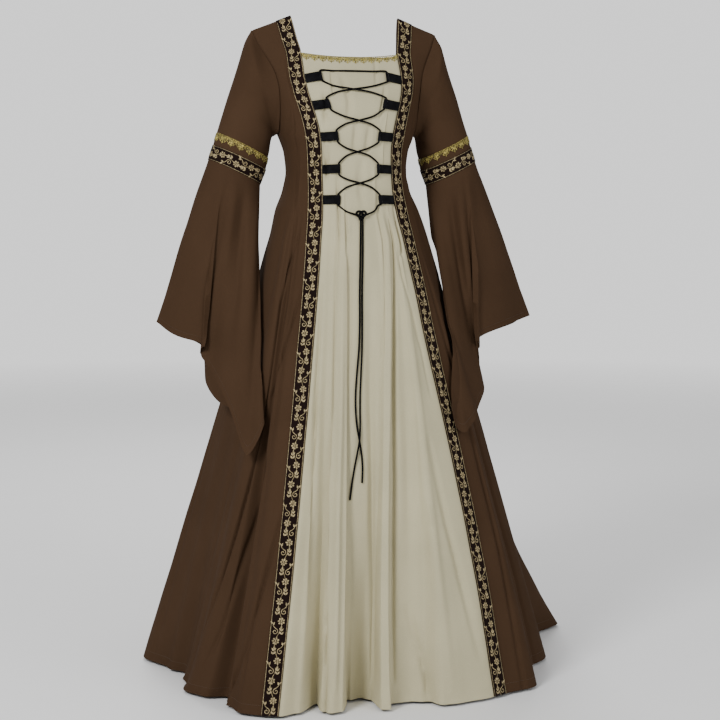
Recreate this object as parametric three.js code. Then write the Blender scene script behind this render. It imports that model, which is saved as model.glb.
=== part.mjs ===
// A floor-length historical dress in the form it has when worn, with nobody in it.
// Millimetres, +Z up. The front faces -Y and the wearer's left is +X.
// The origin lies between the straps, level with the top of the shoulders.
import * as THREE from 'three';

// Driving dimensions
const HEM = -1385;
const SKIRT_TOP = -469;
const ARMPIT = -250;
const NECKLINE = -80;
const NECKLINE_DIP = 8;
const SHOULDER_NECK = 117;
const SHOULDER_TIP = 200;
const SHOULDER_FALL = 32;
const CLOTH = 2;
const SEAM_GAP = 0.3;
const SEAM_TURN = 30.3;
const RIBBON_TURN = 35;
const SEAM_SWAY = { turn: 2, from: -640, to: -1450 };
const RIBBON_WIDTH = 34;
const RIBBON_THICK = 1;
const BRAID_DEPTH = 17;
const BRAID_THICK = 1.4;
const SCALLOP_DEPTH = 6;
const NECK_SCALLOPS = 12;
const LIFT = 0.4;
const BACK_NECK_TURN = 128;
const LACE_RADIUS = 1.75;
const LACE_SIDES = 8;
const LOOP_LENGTH = 35;
const LOOP_WIDTH = 18.5;
const TAPE_HALF = 1.2;
const LOOP_EYE = 2.15;
const LOOP_NOSE = 3.1;
const LOOP_LIFT = 0.7;
const SLEEVE_CLEAR = 9;
const SLEEVE_DEPTH_CLEAR = 24;

// Shoulder and armhole
const SHOULDER_BLEND = -150;
const RIDGE_WALL = 2.6;
const ARMHOLE_MIDDLE = -140;
const ARMHOLE_WALL = 2.3;
const ARMHOLE_GAP = 0.6;
const ARMPIT_GAP = 2.4;
const ARMHOLE_SIDE = 2;

// How far above the top of the skirt its folds fade out
const FOLD_FADE = 75;

// Lacing: height of the loops' eyes that the lace leaves free, and its way from eye to eye
const LOOP_INSET = 0.8;
const LOOP_LEVEL = 6;
const EYE_PAST = 0.04;
const MOUTH_PAST = 0.15;
const MOUTH_IN = { first: 2.2, other: 0.8 };
const LEAVING = { x: 1.6, z: 2.6, out: 0.4 };
const TOP_RUN = { rise: 2.5, at: [-42, -14, 14, 42] };
const TO_CROSSING = { x: 0.42, z: 0.62, lift: 0.35 };
const TO_KNOT = { near: 0.12, drop: 3, far: 0.45, down: 0.6, stop: 1.2, rise: 0.6 };
const END_START = 0.6;
const END_LIFT = 1.2;

const PAINT = {
  brown: { color: 0x463024, roughness: 0.78 },
  cream: { color: 0xbeb7a0, roughness: 0.75 },
  ribbon: { color: 0x3a2c22, roughness: 0.6 },
  braid: { color: 0x9c8f45, roughness: 0.5 },
  velvet: { color: 0x0d0d0d, roughness: 0.9 },
  lace: { color: 0x111111, roughness: 0.55 },
};

// Level rings of the body: half width, y of the middle, reach to the front and back, squareness
const RINGS = [
  { z: 0, half: 215, mid: 20, front: 0.2, back: 0.2, square: 2.6 },
  { z: -12, half: 213, mid: 20, front: 13, back: 12, square: 2.6 },
  { z: -50, half: 205, mid: 20, front: 34, back: 31, square: 2.6 },
  { z: -80, half: 195, mid: 20, front: 52, back: 48, square: 2.6 },
  { z: -127, half: 178, mid: 20, front: 87, back: 72, square: 2.5 },
  { z: -160, half: 168, mid: 18, front: 108, back: 84, square: 2.4 },
  { z: -192, half: 160, mid: 16, front: 117, back: 90, square: 2.3 },
  { z: -222, half: 154, mid: 14, front: 119, back: 92, square: 2.3 },
  { z: -250, half: 147, mid: 12, front: 118, back: 92, square: 2.3 },
  { z: -285, half: 133, mid: 10, front: 116, back: 90, square: 2.3 },
  { z: -325, half: 129, mid: 8, front: 117, back: 88, square: 2.3 },
  { z: -365, half: 137, mid: 5, front: 121, back: 96, square: 2.2 },
  { z: -410, half: 155, mid: 2, front: 135, back: 122, square: 2.1 },
  { z: -469, half: 173, mid: 0, front: 164, back: 155, square: 2 },
  { z: -560, half: 200, mid: 0, front: 203, back: 192, square: 2 },
  { z: -709, half: 244, mid: 0, front: 252, back: 240, square: 2 },
  { z: -873, half: 293, mid: 0, front: 303, back: 290, square: 2 },
  { z: -1100, half: 360, mid: 0, front: 366, back: 360, square: 2 },
  { z: -1385, half: 445, mid: 0, front: 432, back: 445, square: 2 },
];

// Half width of the cream front between its two seams
const FRONT_SEAM = [
  { z: 0, x: 117 }, { z: -50, x: 109 }, { z: -80, x: 104 }, { z: -127, x: 104 },
  { z: -160, x: 100 }, { z: -192, x: 92 }, { z: -222, x: 84 }, { z: -250, x: 78 },
  { z: -285, x: 74.5 }, { z: -325, x: 74 }, { z: -365, x: 74.5 }, { z: -410, x: 78 },
  { z: -469, x: 87.3 },
];

// Armhole edge and back neck edge, both from the ridge of the shoulder down
const ARMHOLE = [
  { z: 0, x: 200 }, { z: -50, x: 185 }, { z: -80, x: 174 }, { z: -127, x: 158 },
  { z: -160, x: 152.5 }, { z: -192, x: 150 }, { z: -222, x: 149 }, { z: -250, x: 147 },
];
const BACK_NECK = [{ z: 0, x: 117 }, { z: -50, x: 122 }, { z: -80, x: 126 }];

// Folds from the wearer's right round the front: the turn of each ridge and hollow at the hem and
// at the top of the skirt, how its path bends, its distance from the middle at the hem, how late
// it rises, and its depth at the top of the skirt
const FOLDS = [
  { at: -180, waist: -180, bend: 1, reach: 425, rise: 1.3, top: 0 },
  { at: -165, waist: -165, bend: 1, reach: 462, rise: 1.3, top: 3 },
  { at: -151, waist: -151, bend: 1, reach: 405, rise: 1.3, top: -3 },
  { at: -137, waist: -137, bend: 1, reach: 460, rise: 1.3, top: 3 },
  { at: -124, waist: -124, bend: 1, reach: 400, rise: 1.3, top: -7 },
  { at: -105, waist: -106, bend: 1, reach: 448, rise: 1.3, top: -7 },
  { at: -90, waist: -90, bend: 1, reach: 392, rise: 1.5, top: -4 },
  { at: -84, waist: -76, bend: 0.5, reach: 366, rise: 1.5, top: -2 },
  { at: -75, waist: -63, bend: 0.5, reach: 384, rise: 1.3, top: -2 },
  { at: -65, waist: -53, bend: 0.5, reach: 417, rise: 1.2, top: 4 },
  { at: -58, waist: -50, bend: 0.5, reach: 410, rise: 1.2, top: 0 },
  { at: -52.4, waist: -48, bend: 0.5, reach: 380, rise: 1.2, top: -5 },
  { at: -46.8, waist: -44.5, bend: 0.6, reach: 424, rise: 1.2, top: -1 },
  { at: -40, waist: -40, bend: 1, reach: 450, rise: 1.2, top: 0 },
  { at: -35, waist: -35, bend: 1, reach: 447, rise: 1.2, top: 0 },
  { at: -30.3, waist: -30.3, bend: 1, reach: 441, rise: 1.2, top: 0 },
  { at: -26.2, waist: -27, bend: 1, reach: 412, rise: 1.6, top: 0 },
  { at: -22.8, waist: -23.5, bend: 1, reach: 345, rise: 1.8, top: -3 },
  { at: -20, waist: -20.3, bend: 1, reach: 394, rise: 1.5, top: 0 },
  { at: -17.5, waist: -17.5, bend: 1, reach: 403, rise: 1.3, top: 2 },
  { at: -14.5, waist: -13.6, bend: 1, reach: 392, rise: 1.3, top: 3 },
  { at: -12.4, waist: -11, bend: 1, reach: 318, rise: 2, top: -3 },
  { at: -8, waist: 0, bend: 1.4, reach: 304, rise: 2, top: 0 },
  { at: -4.8, waist: 9, bend: 1.8, reach: 318, rise: 2, top: -3 },
  { at: -3, waist: 12, bend: 2.2, reach: 386, rise: 1.7, top: 4 },
  { at: -0.8, waist: 16, bend: 2.4, reach: 388, rise: 1.7, top: 5 },
  { at: 1, waist: 20, bend: 2.5, reach: 352, rise: 1.7, top: -3 },
  { at: 7, waist: 22, bend: 2, reach: 351, rise: 1.5, top: -2 },
  { at: 11.5, waist: 23.4, bend: 1.6, reach: 364, rise: 1.5, top: 2 },
  { at: 14.5, waist: 24.6, bend: 1.4, reach: 400, rise: 1.5, top: 3 },
  { at: 20, waist: 26.4, bend: 1, reach: 408, rise: 1.3, top: 0 },
  { at: 30.3, waist: 30.3, bend: 1, reach: 420, rise: 1.2, top: 0 },
  { at: 35, waist: 35, bend: 1, reach: 425, rise: 1.2, top: 0 },
  { at: 45, waist: 45, bend: 1, reach: 450, rise: 1.2, top: 2 },
  { at: 54, waist: 52, bend: 1, reach: 424, rise: 1.2, top: -3 },
  { at: 62.8, waist: 60, bend: 1, reach: 405, rise: 1.2, top: -2 },
  { at: 76, waist: 74, bend: 1, reach: 438, rise: 1.2, top: 2 },
  { at: 90, waist: 90, bend: 1, reach: 448, rise: 1.3, top: 0 },
  { at: 99, waist: 98, bend: 1, reach: 478, rise: 2, top: 4 },
  { at: 106, waist: 105, bend: 1, reach: 572, rise: 2.9, top: 4 },
  { at: 114, waist: 113, bend: 1, reach: 476, rise: 2, top: 4 },
  { at: 125, waist: 125, bend: 1, reach: 405, rise: 1.3, top: -3 },
  { at: 139, waist: 139, bend: 1, reach: 462, rise: 1.3, top: 3 },
  { at: 153, waist: 153, bend: 1, reach: 404, rise: 1.3, top: -3 },
  { at: 166, waist: 166, bend: 1, reach: 460, rise: 1.3, top: 3 },
  { at: 180, waist: 180, bend: 1, reach: 425, rise: 1.3, top: 0 },
];

const LEVELS = [
  0, -12, -50, -80, -127, -160, -192, -222, -250, -285, -325, -365, -410, -469,
  -560, -670, -790, -910, -1030, -1140, -1240, -1320, -1385,
];

// Rings of the upper sleeve: outermost and innermost points, half depth
const SLEEVE_RINGS = [
  { step: 1, outX: 214, outZ: -58, inX: 158, inZ: -256, deep: 56 },
  { step: 2, outX: 231, outZ: -112, inX: 162, inZ: -272, deep: 55 },
  { step: 3, outX: 254, outZ: -182, inX: 164, inZ: -286, deep: 51 },
  { step: 4, outX: 275, outZ: -246, inX: 167, inZ: -299, deep: 47 },
  { step: 5, outX: 283, outZ: -272, inX: 172, inZ: -323, deep: 46 },
  { step: 6, outX: 288, outZ: -287, inX: 178, inZ: -338, deep: 45.5 },
  { step: 7, outX: 293, outZ: -302, inX: 184, inZ: -354, deep: 45 },
];
const SLEEVE_MID_Y = 22;
const ELBOW_STEP = 6;
const ELBOW_GAP = 0.02;

// Hem of each trumpet sleeve, from its outer corner (turn 0) over the front to the body side
const SLEEVE_HEMS = {
  right: [
    { turn: 0, x: 406, y: 15, z: -642 }, { turn: 30, x: 366, y: -40, z: -668 },
    { turn: 58, x: 323, y: -75, z: -688 }, { turn: 75, x: 323, y: -47, z: -706 },
    { turn: 95, x: 313, y: -62, z: -728 }, { turn: 120, x: 295, y: -115, z: -762 },
    { turn: 145, x: 278, y: -160, z: -821 }, { turn: 170, x: 255, y: -200, z: -898 },
    { turn: 192, x: 233, y: -205, z: -868 }, { turn: 210, x: 217, y: -190, z: -832 },
    { turn: 235, x: 243, y: -158, z: -820 }, { turn: 258, x: 290, y: -86, z: -805 },
    { turn: 282, x: 308, y: -14, z: -762 }, { turn: 308, x: 308, y: 42, z: -703 },
    { turn: 335, x: 371, y: 56, z: -667 },
  ],
  left: [
    { turn: 0, x: 409, y: -20, z: -640 }, { turn: 30, x: 321, y: -82, z: -657 },
    { turn: 58, x: 256, y: -132, z: -685 }, { turn: 75, x: 262, y: -104, z: -702 },
    { turn: 95, x: 262, y: -112, z: -723 }, { turn: 120, x: 263, y: -142, z: -775 },
    { turn: 145, x: 240, y: -184, z: -815 }, { turn: 170, x: 190, y: -246, z: -861 },
    { turn: 192, x: 171, y: -246, z: -846 }, { turn: 210, x: 165, y: -228, z: -806 },
    { turn: 235, x: 203, y: -186, z: -798 }, { turn: 258, x: 265, y: -116, z: -790 },
    { turn: 282, x: 276, y: -40, z: -747 }, { turn: 308, x: 305, y: 18, z: -692 },
    { turn: 335, x: 392, y: 24, z: -657 },
  ],
};
const SLEEVE_ROWS = 7;
const WIDE_FOLD = 3.8;

// Long soft folds of the trumpet sleeves: turn, height of the ridge, width in degrees
const SLEEVE_FOLDS = [
  { turn: 24, rise: 8, wide: 18 }, { turn: 52, rise: -7, wide: 14 },
  { turn: 84, rise: 9, wide: 16 }, { turn: 118, rise: -6, wide: 14 },
  { turn: 262, rise: 5, wide: 20 }, { turn: 300, rise: -6, wide: 18 },
];

// Pairs of velvet loops, from the top: height and rise towards the middle
const LOOPS = [
  { z: -137, rise: 5 }, { z: -193, rise: 4 }, { z: -257, rise: 2 },
  { z: -324, rise: 1.5 }, { z: -387, rise: 0 },
];
const CROSSINGS = [
  { x: -12, z: -160 }, { x: 1, z: -223 }, { x: -3, z: -288 }, { x: -1, z: -353 },
];
const KNOT = { x: -3, z: -420, out: 6, wide: 9.5, thick: 5, high: 7.2 };

// The two free ends of the lace as they lie on the skirt
const LACE_ENDS = {
  right: [
    { x: -5.2, z: -427.2 }, { x: -6.2, z: -440 }, { x: -10, z: -469 }, { x: -16, z: -520 },
    { x: -22, z: -575 }, { x: -26, z: -630 }, { x: -31, z: -685 }, { x: -38, z: -735 },
    { x: -43, z: -776 }, { x: -44.5, z: -808 }, { x: -43.5, z: -838 }, { x: -40, z: -866 },
    { x: -37, z: -892 }, { x: -36, z: -918 }, { x: -38, z: -948 },
  ],
  left: [
    { x: -0.8, z: -427.2 }, { x: -1.6, z: -440 }, { x: -5.2, z: -469 }, { x: -11, z: -520 },
    { x: -17, z: -575 }, { x: -21, z: -630 }, { x: -25, z: -685 }, { x: -30, z: -735 },
    { x: -34, z: -776 }, { x: -36, z: -808 }, { x: -37.5, z: -838, lift: 1.9 },
    { x: -40.5, z: -866, lift: 4 }, { x: -46, z: -892, lift: 2.5 }, { x: -51, z: -915 },
    { x: -57, z: -945 }, { x: -64, z: -981 },
  ],
};

const radians = THREE.MathUtils.degToRad;
const clamp = THREE.MathUtils.clamp;
const lerp = THREE.MathUtils.lerp;
const smooth = (value) => THREE.MathUtils.smoothstep(value, 0, 1);
const vector = (x, y, z) => new THREE.Vector3(x, y, z);

// Reads a column of a table at a place between its rows, with a smooth curve through the rows
function read(table, key, column, place) {
  const falling = table[0][key] > table[table.length - 1][key];
  const rows = falling ? [...table].reverse() : table;
  const last = rows.length - 1;
  const wanted = clamp(place, rows[0][key], rows[last][key]);
  let low = 0;
  while (low < last - 1 && rows[low + 1][key] < wanted) low += 1;
  const chord = (a, b) => (rows[b][column] - rows[a][column]) / (rows[b][key] - rows[a][key]);
  const slope = (i) => {
    if (i === 0) return chord(0, 1);
    if (i === last) return chord(last - 1, last);
    const before = chord(i - 1, i);
    const after = chord(i, i + 1);
    return before * after <= 0 ? 0 : (2 * before * after) / (before + after);
  };
  const span = rows[low + 1][key] - rows[low][key];
  const t = (wanted - rows[low][key]) / span;
  const a = rows[low][column];
  const b = rows[low + 1][column];
  const keep = (1 + 2 * t) * (1 - t) ** 2;
  const take = t * t * (3 - 2 * t);
  return keep * a + take * b
    + t * (1 - t) ** 2 * span * slope(low) + t * t * (t - 1) * span * slope(low + 1);
}

// Body surface

function ringPoint(turn, z, back) {
  const half = read(RINGS, 'z', 'half', z);
  const square = read(RINGS, 'z', 'square', z);
  const reach = read(RINGS, 'z', back ? 'back' : 'front', z);
  const across = Math.abs(Math.sin(turn)) ** (2 / square) * Math.sign(Math.sin(turn));
  const along = Math.abs(Math.cos(turn)) ** (2 / square);
  const y = read(RINGS, 'z', 'mid', z) + (back ? 1 : -1) * reach * along;
  return vector(half * across, y, z);
}

function turnAtX(x, z) {
  const ratio = clamp(x / read(RINGS, 'z', 'half', z), 0, 1);
  return Math.asin(ratio ** (read(RINGS, 'z', 'square', z) / 2));
}

// The wearer's left seam swings a little to the side on its way down the skirt
function seamTurn(z, sign) {
  if (z >= SKIRT_TOP) return turnAtX(read(FRONT_SEAM, 'z', 'x', z), z);
  const share = clamp((z - SEAM_SWAY.from) / (SEAM_SWAY.to - SEAM_SWAY.from), 0, 1);
  const sway = sign > 0 ? SEAM_SWAY.turn * Math.sin(Math.PI * share) : 0;
  return radians(SEAM_TURN + sway);
}

function edgeTurn(z) {
  return z < ARMPIT ? Math.PI / 2 : turnAtX(read(ARMHOLE, 'z', 'x', z), z);
}

function ribbonTurn(z, sign) {
  const start = seamTurn(z, sign);
  const step = 0.02;
  const speed = ringPoint(start + step, z).distanceTo(ringPoint(start, z)) / step;
  return start + RIBBON_WIDTH / speed;
}

function foldIndex(column) {
  let low = 0;
  while (low < FOLDS.length - 2 && FOLDS[low + 1].at < column) low += 1;
  return low;
}

const heightShare = (z) => clamp((z - HEM) / (SKIRT_TOP - HEM), 0, 1);

// Where the column that ends at the given turn on the hem stands at the level z
function drift(column, z) {
  const low = foldIndex(column);
  const place = (row) => row.at + (row.waist - row.at) * heightShare(z) ** row.bend;
  const [a, b] = [FOLDS[low], FOLDS[low + 1]];
  return lerp(place(a), place(b), (column - a.at) / (b.at - a.at));
}

function foldDepth(column, z) {
  const low = foldIndex(column);
  const high = heightShare(z);
  const above = 1 - smooth((z - SKIRT_TOP) / FOLD_FADE);
  const depth = (row) => {
    const plain = ringPoint(radians(Math.abs(row.at)), HEM, Math.abs(row.at) > 90);
    const reach = row.reach - Math.hypot(plain.x, plain.y);
    return reach * (1 - high) ** row.rise + row.top * high * above;
  };
  const [a, b] = [FOLDS[low], FOLDS[low + 1]];
  const share = (column - a.at) / (b.at - a.at);
  return lerp(depth(a), depth(b), (1 - Math.cos(Math.PI * share)) / 2);
}

// Turn round the body of a column, in the panel of the front or of the back
function bodyTurn(column, z, back) {
  const sign = Math.sign(column) || 1;
  const size = Math.abs(column);
  const placed = Math.abs(drift(column, z));
  const seam = seamTurn(z, sign);
  if (back) {
    const start = Math.PI - edgeTurn(z);
    const plain = start + ((placed - 90) / 90) * (Math.PI - start);
    if (z <= NECKLINE || size > BACK_NECK_TURN) return sign * plain;
    const neck = Math.PI - turnAtX(read(BACK_NECK, 'z', 'x', z), z);
    return sign * lerp(start, neck, (size - 90) / (BACK_NECK_TURN - 90));
  }
  if (size <= SEAM_TURN) return (drift(column, z) / SEAM_TURN) * seam;
  const ribbon = ribbonTurn(z, sign);
  if (size <= RIBBON_TURN) {
    return sign * lerp(seam, ribbon, (size - SEAM_TURN) / (RIBBON_TURN - SEAM_TURN));
  }
  return sign * lerp(ribbon, edgeTurn(z), (placed - RIBBON_TURN) / (90 - RIBBON_TURN));
}

function slopeShoulder(point) {
  const share = 1 - smooth(point.z / SHOULDER_BLEND);
  const out = Math.max(0, (Math.abs(point.x) - SHOULDER_NECK) / (SHOULDER_TIP - SHOULDER_NECK));
  point.z -= share * out * SHOULDER_FALL;
  return point;
}

function bodyPoint(column, z, back = false) {
  const turn = bodyTurn(column, z, back);
  const point = ringPoint(turn, z, back);
  const depth = foldDepth(column, z);
  point.x += Math.sin(turn) * depth;
  point.y -= Math.cos(turn) * depth;
  return slopeShoulder(point);
}

function bodyNormal(column, z, back = false) {
  const dc = 0.15;
  const dz = 1.5;
  const high = Math.min(z + dz, 0);
  const low = Math.max(z - dz, HEM);
  const across = bodyPoint(column + dc, z, back).sub(bodyPoint(column - dc, z, back));
  const down = bodyPoint(column, low, back).sub(bodyPoint(column, high, back));
  return down.cross(across).normalize();
}

// Walls

// A wall from rows of outer points and the offsets to its inner face
function wallGeometry(outer, offset, { around = false, present = () => true } = {}) {
  const rows = outer.length;
  const columns = outer[0].length;
  const positions = [];
  for (const layer of [0, 1]) {
    for (let i = 0; i < rows; i += 1) {
      for (let j = 0; j < columns; j += 1) {
        const point = outer[i][j].clone();
        if (layer === 1) point.add(offset[i][j]);
        positions.push(point.x, point.y, point.z);
      }
    }
  }
  const at = (i, j, layer) => layer * rows * columns + i * columns + (j % columns);
  const cells = around ? columns : columns - 1;
  const filled = (i, j) => {
    const column = around ? (j + columns) % columns : j;
    return i >= 0 && i < rows - 1 && column >= 0 && column < cells && present(i, column);
  };
  const faces = [];
  const quad = (a, b, c, d) => faces.push(a, b, c, a, c, d);
  for (let i = 0; i < rows - 1; i += 1) {
    for (let j = 0; j < cells; j += 1) {
      if (!filled(i, j)) continue;
      quad(at(i, j, 0), at(i + 1, j, 0), at(i + 1, j + 1, 0), at(i, j + 1, 0));
      quad(at(i, j, 1), at(i, j + 1, 1), at(i + 1, j + 1, 1), at(i + 1, j, 1));
      if (!filled(i - 1, j)) quad(at(i, j, 0), at(i, j + 1, 0), at(i, j + 1, 1), at(i, j, 1));
      if (!filled(i + 1, j)) {
        quad(at(i + 1, j + 1, 0), at(i + 1, j, 0), at(i + 1, j, 1), at(i + 1, j + 1, 1));
      }
      if (!filled(i, j - 1)) quad(at(i + 1, j, 0), at(i, j, 0), at(i, j, 1), at(i + 1, j, 1));
      if (!filled(i, j + 1)) {
        quad(at(i, j + 1, 0), at(i + 1, j + 1, 0), at(i + 1, j + 1, 1), at(i, j + 1, 1));
      }
    }
  }
  return facingOut(positions, faces);
}

// Makes the faces of a closed body point out, and drops points that no face uses
function facingOut(positions, faces) {
  const corner = (i) => vector(positions[3 * i], positions[3 * i + 1], positions[3 * i + 2]);
  let volume = 0;
  for (let f = 0; f < faces.length; f += 3) {
    volume += corner(faces[f]).dot(corner(faces[f + 1]).cross(corner(faces[f + 2])));
  }
  const used = new Map();
  const kept = [];
  const index = faces.map((i) => {
    if (!used.has(i)) {
      used.set(i, used.size);
      kept.push(...corner(i).toArray());
    }
    return used.get(i);
  });
  for (let f = 0; volume < 0 && f < index.length; f += 3) {
    [index[f + 1], index[f + 2]] = [index[f + 2], index[f + 1]];
  }
  const geometry = new THREE.BufferGeometry();
  geometry.setAttribute('position', new THREE.Float32BufferAttribute(kept, 3));
  geometry.setIndex(index);
  geometry.computeVertexNormals();
  return geometry;
}

const dress = new THREE.Group();

function add(name, geometry, paint) {
  const material = new THREE.MeshStandardMaterial({ ...PAINT[paint], metalness: 0 });
  const mesh = new THREE.Mesh(geometry, material);
  mesh.name = name;
  dress.add(mesh);
}

// Moves the last points of each row back from the seam by half the gap
function trimSides(rows) {
  for (const row of rows) {
    const last = row.length - 1;
    const left = row[1].clone().sub(row[0]).setLength(SEAM_GAP / 2);
    const right = row[last - 1].clone().sub(row[last]).setLength(SEAM_GAP / 2);
    row[0].add(left);
    row[last].add(right);
  }
  return rows;
}

// Columns between two turns on the hem: each fold row, and points between wide ones
function columnsBetween(from, to) {
  const stops = FOLDS.map((row) => row.at).filter((at) => at > from && at < to);
  const marks = [from, ...stops, to];
  const columns = [];
  for (let i = 0; i < marks.length - 1; i += 1) {
    const parts = Math.abs(marks[i + 1] - marks[i]) > WIDE_FOLD ? 2 : 1;
    for (let k = 0; k < parts; k += 1) columns.push(lerp(marks[i], marks[i + 1], k / parts));
  }
  return [...columns, to];
}

// Underarm seams turn their wall halfway towards the sleeve
function armholeOffset(column, z, back) {
  const point = bodyPoint(column, z, back);
  const away = vector(0, point.y - SLEEVE_MID_Y, point.z - ARMHOLE_MIDDLE).normalize();
  return bodyNormal(column, z, back).add(away).setLength(-ARMHOLE_WALL);
}

// A panel's rows are levels, or functions that give the level of each column
function panelWall(columns, rows, back) {
  const levels = rows.map((row) => columns.map((column) => (
    typeof row === 'function' ? row(column) : row)));
  const points = levels.map((row) => row.map((z, j) => bodyPoint(columns[j], z, back)));
  const offsets = levels.map((row) => row.map((z, j) => {
    if (z === 0) return vector(0, 0, -RIDGE_WALL);
    const atArmhole = Math.abs(columns[j]) === 90 && z >= ARMPIT;
    if (atArmhole) return armholeOffset(columns[j], z, back);
    return bodyNormal(columns[j], z, back).multiplyScalar(-CLOTH);
  }));
  return { points: trimSides(points), offsets };
}

const necklineLevel = (column) => NECKLINE - NECKLINE_DIP * (1 - (column / SEAM_TURN) ** 2);

function sideFront(side) {
  const sign = side === 'left' ? 1 : -1;
  const middle = (SEAM_TURN + RIBBON_TURN) / 2;
  const plain = sign > 0
    ? [SEAM_TURN, middle, ...columnsBetween(RIBBON_TURN, 90)]
    : [...columnsBetween(-90, -RIBBON_TURN), -middle, -SEAM_TURN];
  const { points, offsets } = panelWall(plain, LEVELS, false);
  add(`side_front_${side}`, wallGeometry(points, offsets), 'brown');
  const pick = sign > 0 ? [0, 1, 2] : [-3, -2, -1];
  const strip = (rows) => rows.map((row) => pick.map((k) => row.at(k)));
  add(`front_ribbon_${side}`, laidOn(strip(points), strip(offsets), RIBBON_THICK), 'ribbon');
}

// A strip that lies on a wall: its points moved out along the wall's own offsets
function laidOn(points, offsets, thick, options) {
  const out = (i, j) => offsets[i][j].clone().normalize();
  const outer = points.map((row, i) => row.map((p, j) => (
    p.clone().addScaledVector(out(i, j), -(LIFT + thick)))));
  const inner = points.map((row, i) => row.map((p, j) => out(i, j).multiplyScalar(thick)));
  return wallGeometry(outer, inner, options);
}

function backPanel(side) {
  const sign = side === 'left' ? 1 : -1;
  const stops = columnsBetween(BACK_NECK_TURN, 180);
  const strap = columnsBetween(90, BACK_NECK_TURN);
  const mirrored = [...strap.slice(0, -1), ...stops].map((column) => -column).reverse();
  const columns = sign > 0 ? [...strap.slice(0, -1), ...stops] : mirrored;
  const { points, offsets } = panelWall(columns, LEVELS, true);
  const present = (i, j) => {
    const inner = Math.max(Math.abs(columns[j]), Math.abs(columns[j + 1]));
    return LEVELS[i] <= NECKLINE || inner <= BACK_NECK_TURN;
  };
  add(`back_${side}`, wallGeometry(points, offsets, { present }), 'brown');
}

// Sleeves

const sideSign = (side) => (side === 'left' ? 1 : -1);

// The armhole seam from the shoulder over the front to the armpit, and up the back
function armholeRing(side) {
  const sign = sideSign(side);
  const levels = LEVELS.filter((z) => z >= ARMPIT);
  const half = (back) => levels.map((z) => {
    const point = bodyPoint(sign * 90, z, back);
    const beside = 90 + (back ? ARMHOLE_SIDE : -ARMHOLE_SIDE);
    const away = z === ARMPIT
      ? vector(0, 0, 1)
      : point.clone().sub(bodyPoint(sign * beside, z, back)).normalize();
    const gap = away.add(vector(sign, 0, 0)).setLength(z === ARMPIT ? ARMPIT_GAP : ARMHOLE_GAP);
    const offset = z === 0 ? vector(0, 0, -RIDGE_WALL) : armholeOffset(sign * 90, z, back);
    return { point: point.add(gap), offset };
  });
  const front = half(false);
  const rear = half(true).slice(1, -1).reverse();
  return [...front, ...rear];
}

const HALF_COLUMNS = LEVELS.filter((z) => z >= ARMPIT).length - 1;
const sleeveTurn = (index) => (index * 180) / HALF_COLUMNS;

function sleeveRingPoint(side, turn, step) {
  const sign = sideSign(side);
  const angle = radians(turn);
  const value = (column) => read(SLEEVE_RINGS, 'step', column, step);
  const midX = (value('outX') + value('inX')) / 2;
  const midZ = (value('outZ') + value('inZ')) / 2;
  const x = midX + ((value('outX') - value('inX')) / 2) * Math.cos(angle);
  const z = midZ + ((value('outZ') - value('inZ')) / 2) * Math.cos(angle);
  return vector(sign * x, SLEEVE_MID_Y - value('deep') * Math.sin(angle), z);
}

function gridNormal(pointAt, turn, step, sign) {
  const dt = 1;
  const ds = 0.02;
  const across = pointAt(turn + dt, step).sub(pointAt(turn - dt, step));
  const along = pointAt(turn, step + ds).sub(pointAt(turn, step - ds));
  return along.cross(across).multiplyScalar(-sign).normalize();
}

function upperSleeve(side) {
  const sign = sideSign(side);
  const ring = armholeRing(side);
  const turns = ring.map((_, index) => sleeveTurn(index));
  const steps = [1, 2, 3, 4, 5, ELBOW_STEP - ELBOW_GAP];
  const pointAt = (turn, step) => sleeveRingPoint(side, turn, step);
  const points = [
    ring.map(({ point }) => point.clone()),
    ...steps.map((step) => turns.map((turn) => pointAt(turn, step))),
  ];
  const inward = (turn, step) => (
    gridNormal(pointAt, turn, Math.max(step, 1 + ELBOW_GAP), sign).multiplyScalar(-CLOTH));
  const offsets = [
    ring.map(({ offset }) => offset.clone()),
    ...steps.map((step) => turns.map((turn) => inward(turn, step))),
  ];
  add(`upper_sleeve_${side}`, wallGeometry(points, offsets, { around: true }), 'brown');
}

function bandOnSleeve(name, side, { from, to, parts, rows, thick, scallops, paint }) {
  const sign = sideSign(side);
  const count = 2 * HALF_COLUMNS * parts;
  const pointAt = (turn, step) => sleeveRingPoint(side, turn, step);
  const edge = (index) => {
    if (!scallops) return to;
    const wave = Math.abs(Math.sin((Math.PI * index) / parts));
    return to - (1 - wave) * scallops;
  };
  const grid = Array.from({ length: rows + 1 }, (_, row) => (
    Array.from({ length: count }, (__, index) => {
      const turn = (index * 360) / count;
      return { turn, step: lerp(from, edge(index), row / rows) };
    })));
  const points = grid.map((line) => line.map(({ turn, step }) => pointAt(turn, step)));
  const offsets = grid.map((line) => line.map(({ turn, step }) => (
    gridNormal(pointAt, turn, step, sign).multiplyScalar(-1))));
  add(name, laidOn(points, offsets, thick, { around: true }), paint);
}

// Distance of the skirt from the middle in the direction of a point at its level
function skirtReach(point) {
  const wanted = Math.atan2(point.x, -point.y);
  const back = Math.abs(wanted) > Math.PI / 2;
  const sign = Math.sign(wanted);
  let [low, high] = back ? [90, 180] : [0, 90];
  for (let i = 0; i < 18; i += 1) {
    const middle = (low + high) / 2;
    const there = bodyPoint(sign * middle, point.z, back);
    if (Math.abs(Math.atan2(there.x, -there.y)) < Math.abs(wanted)) low = middle;
    else high = middle;
  }
  const found = bodyPoint((sign * (low + high)) / 2, point.z, back);
  return Math.hypot(found.x, found.y);
}

function clearOfSkirt(point, clearance) {
  const distance = Math.hypot(point.x, point.y);
  const least = skirtReach(point) + clearance;
  if (distance >= least || point.z > ARMPIT) return point;
  point.x *= least / distance;
  point.y *= least / distance;
  return point;
}

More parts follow.
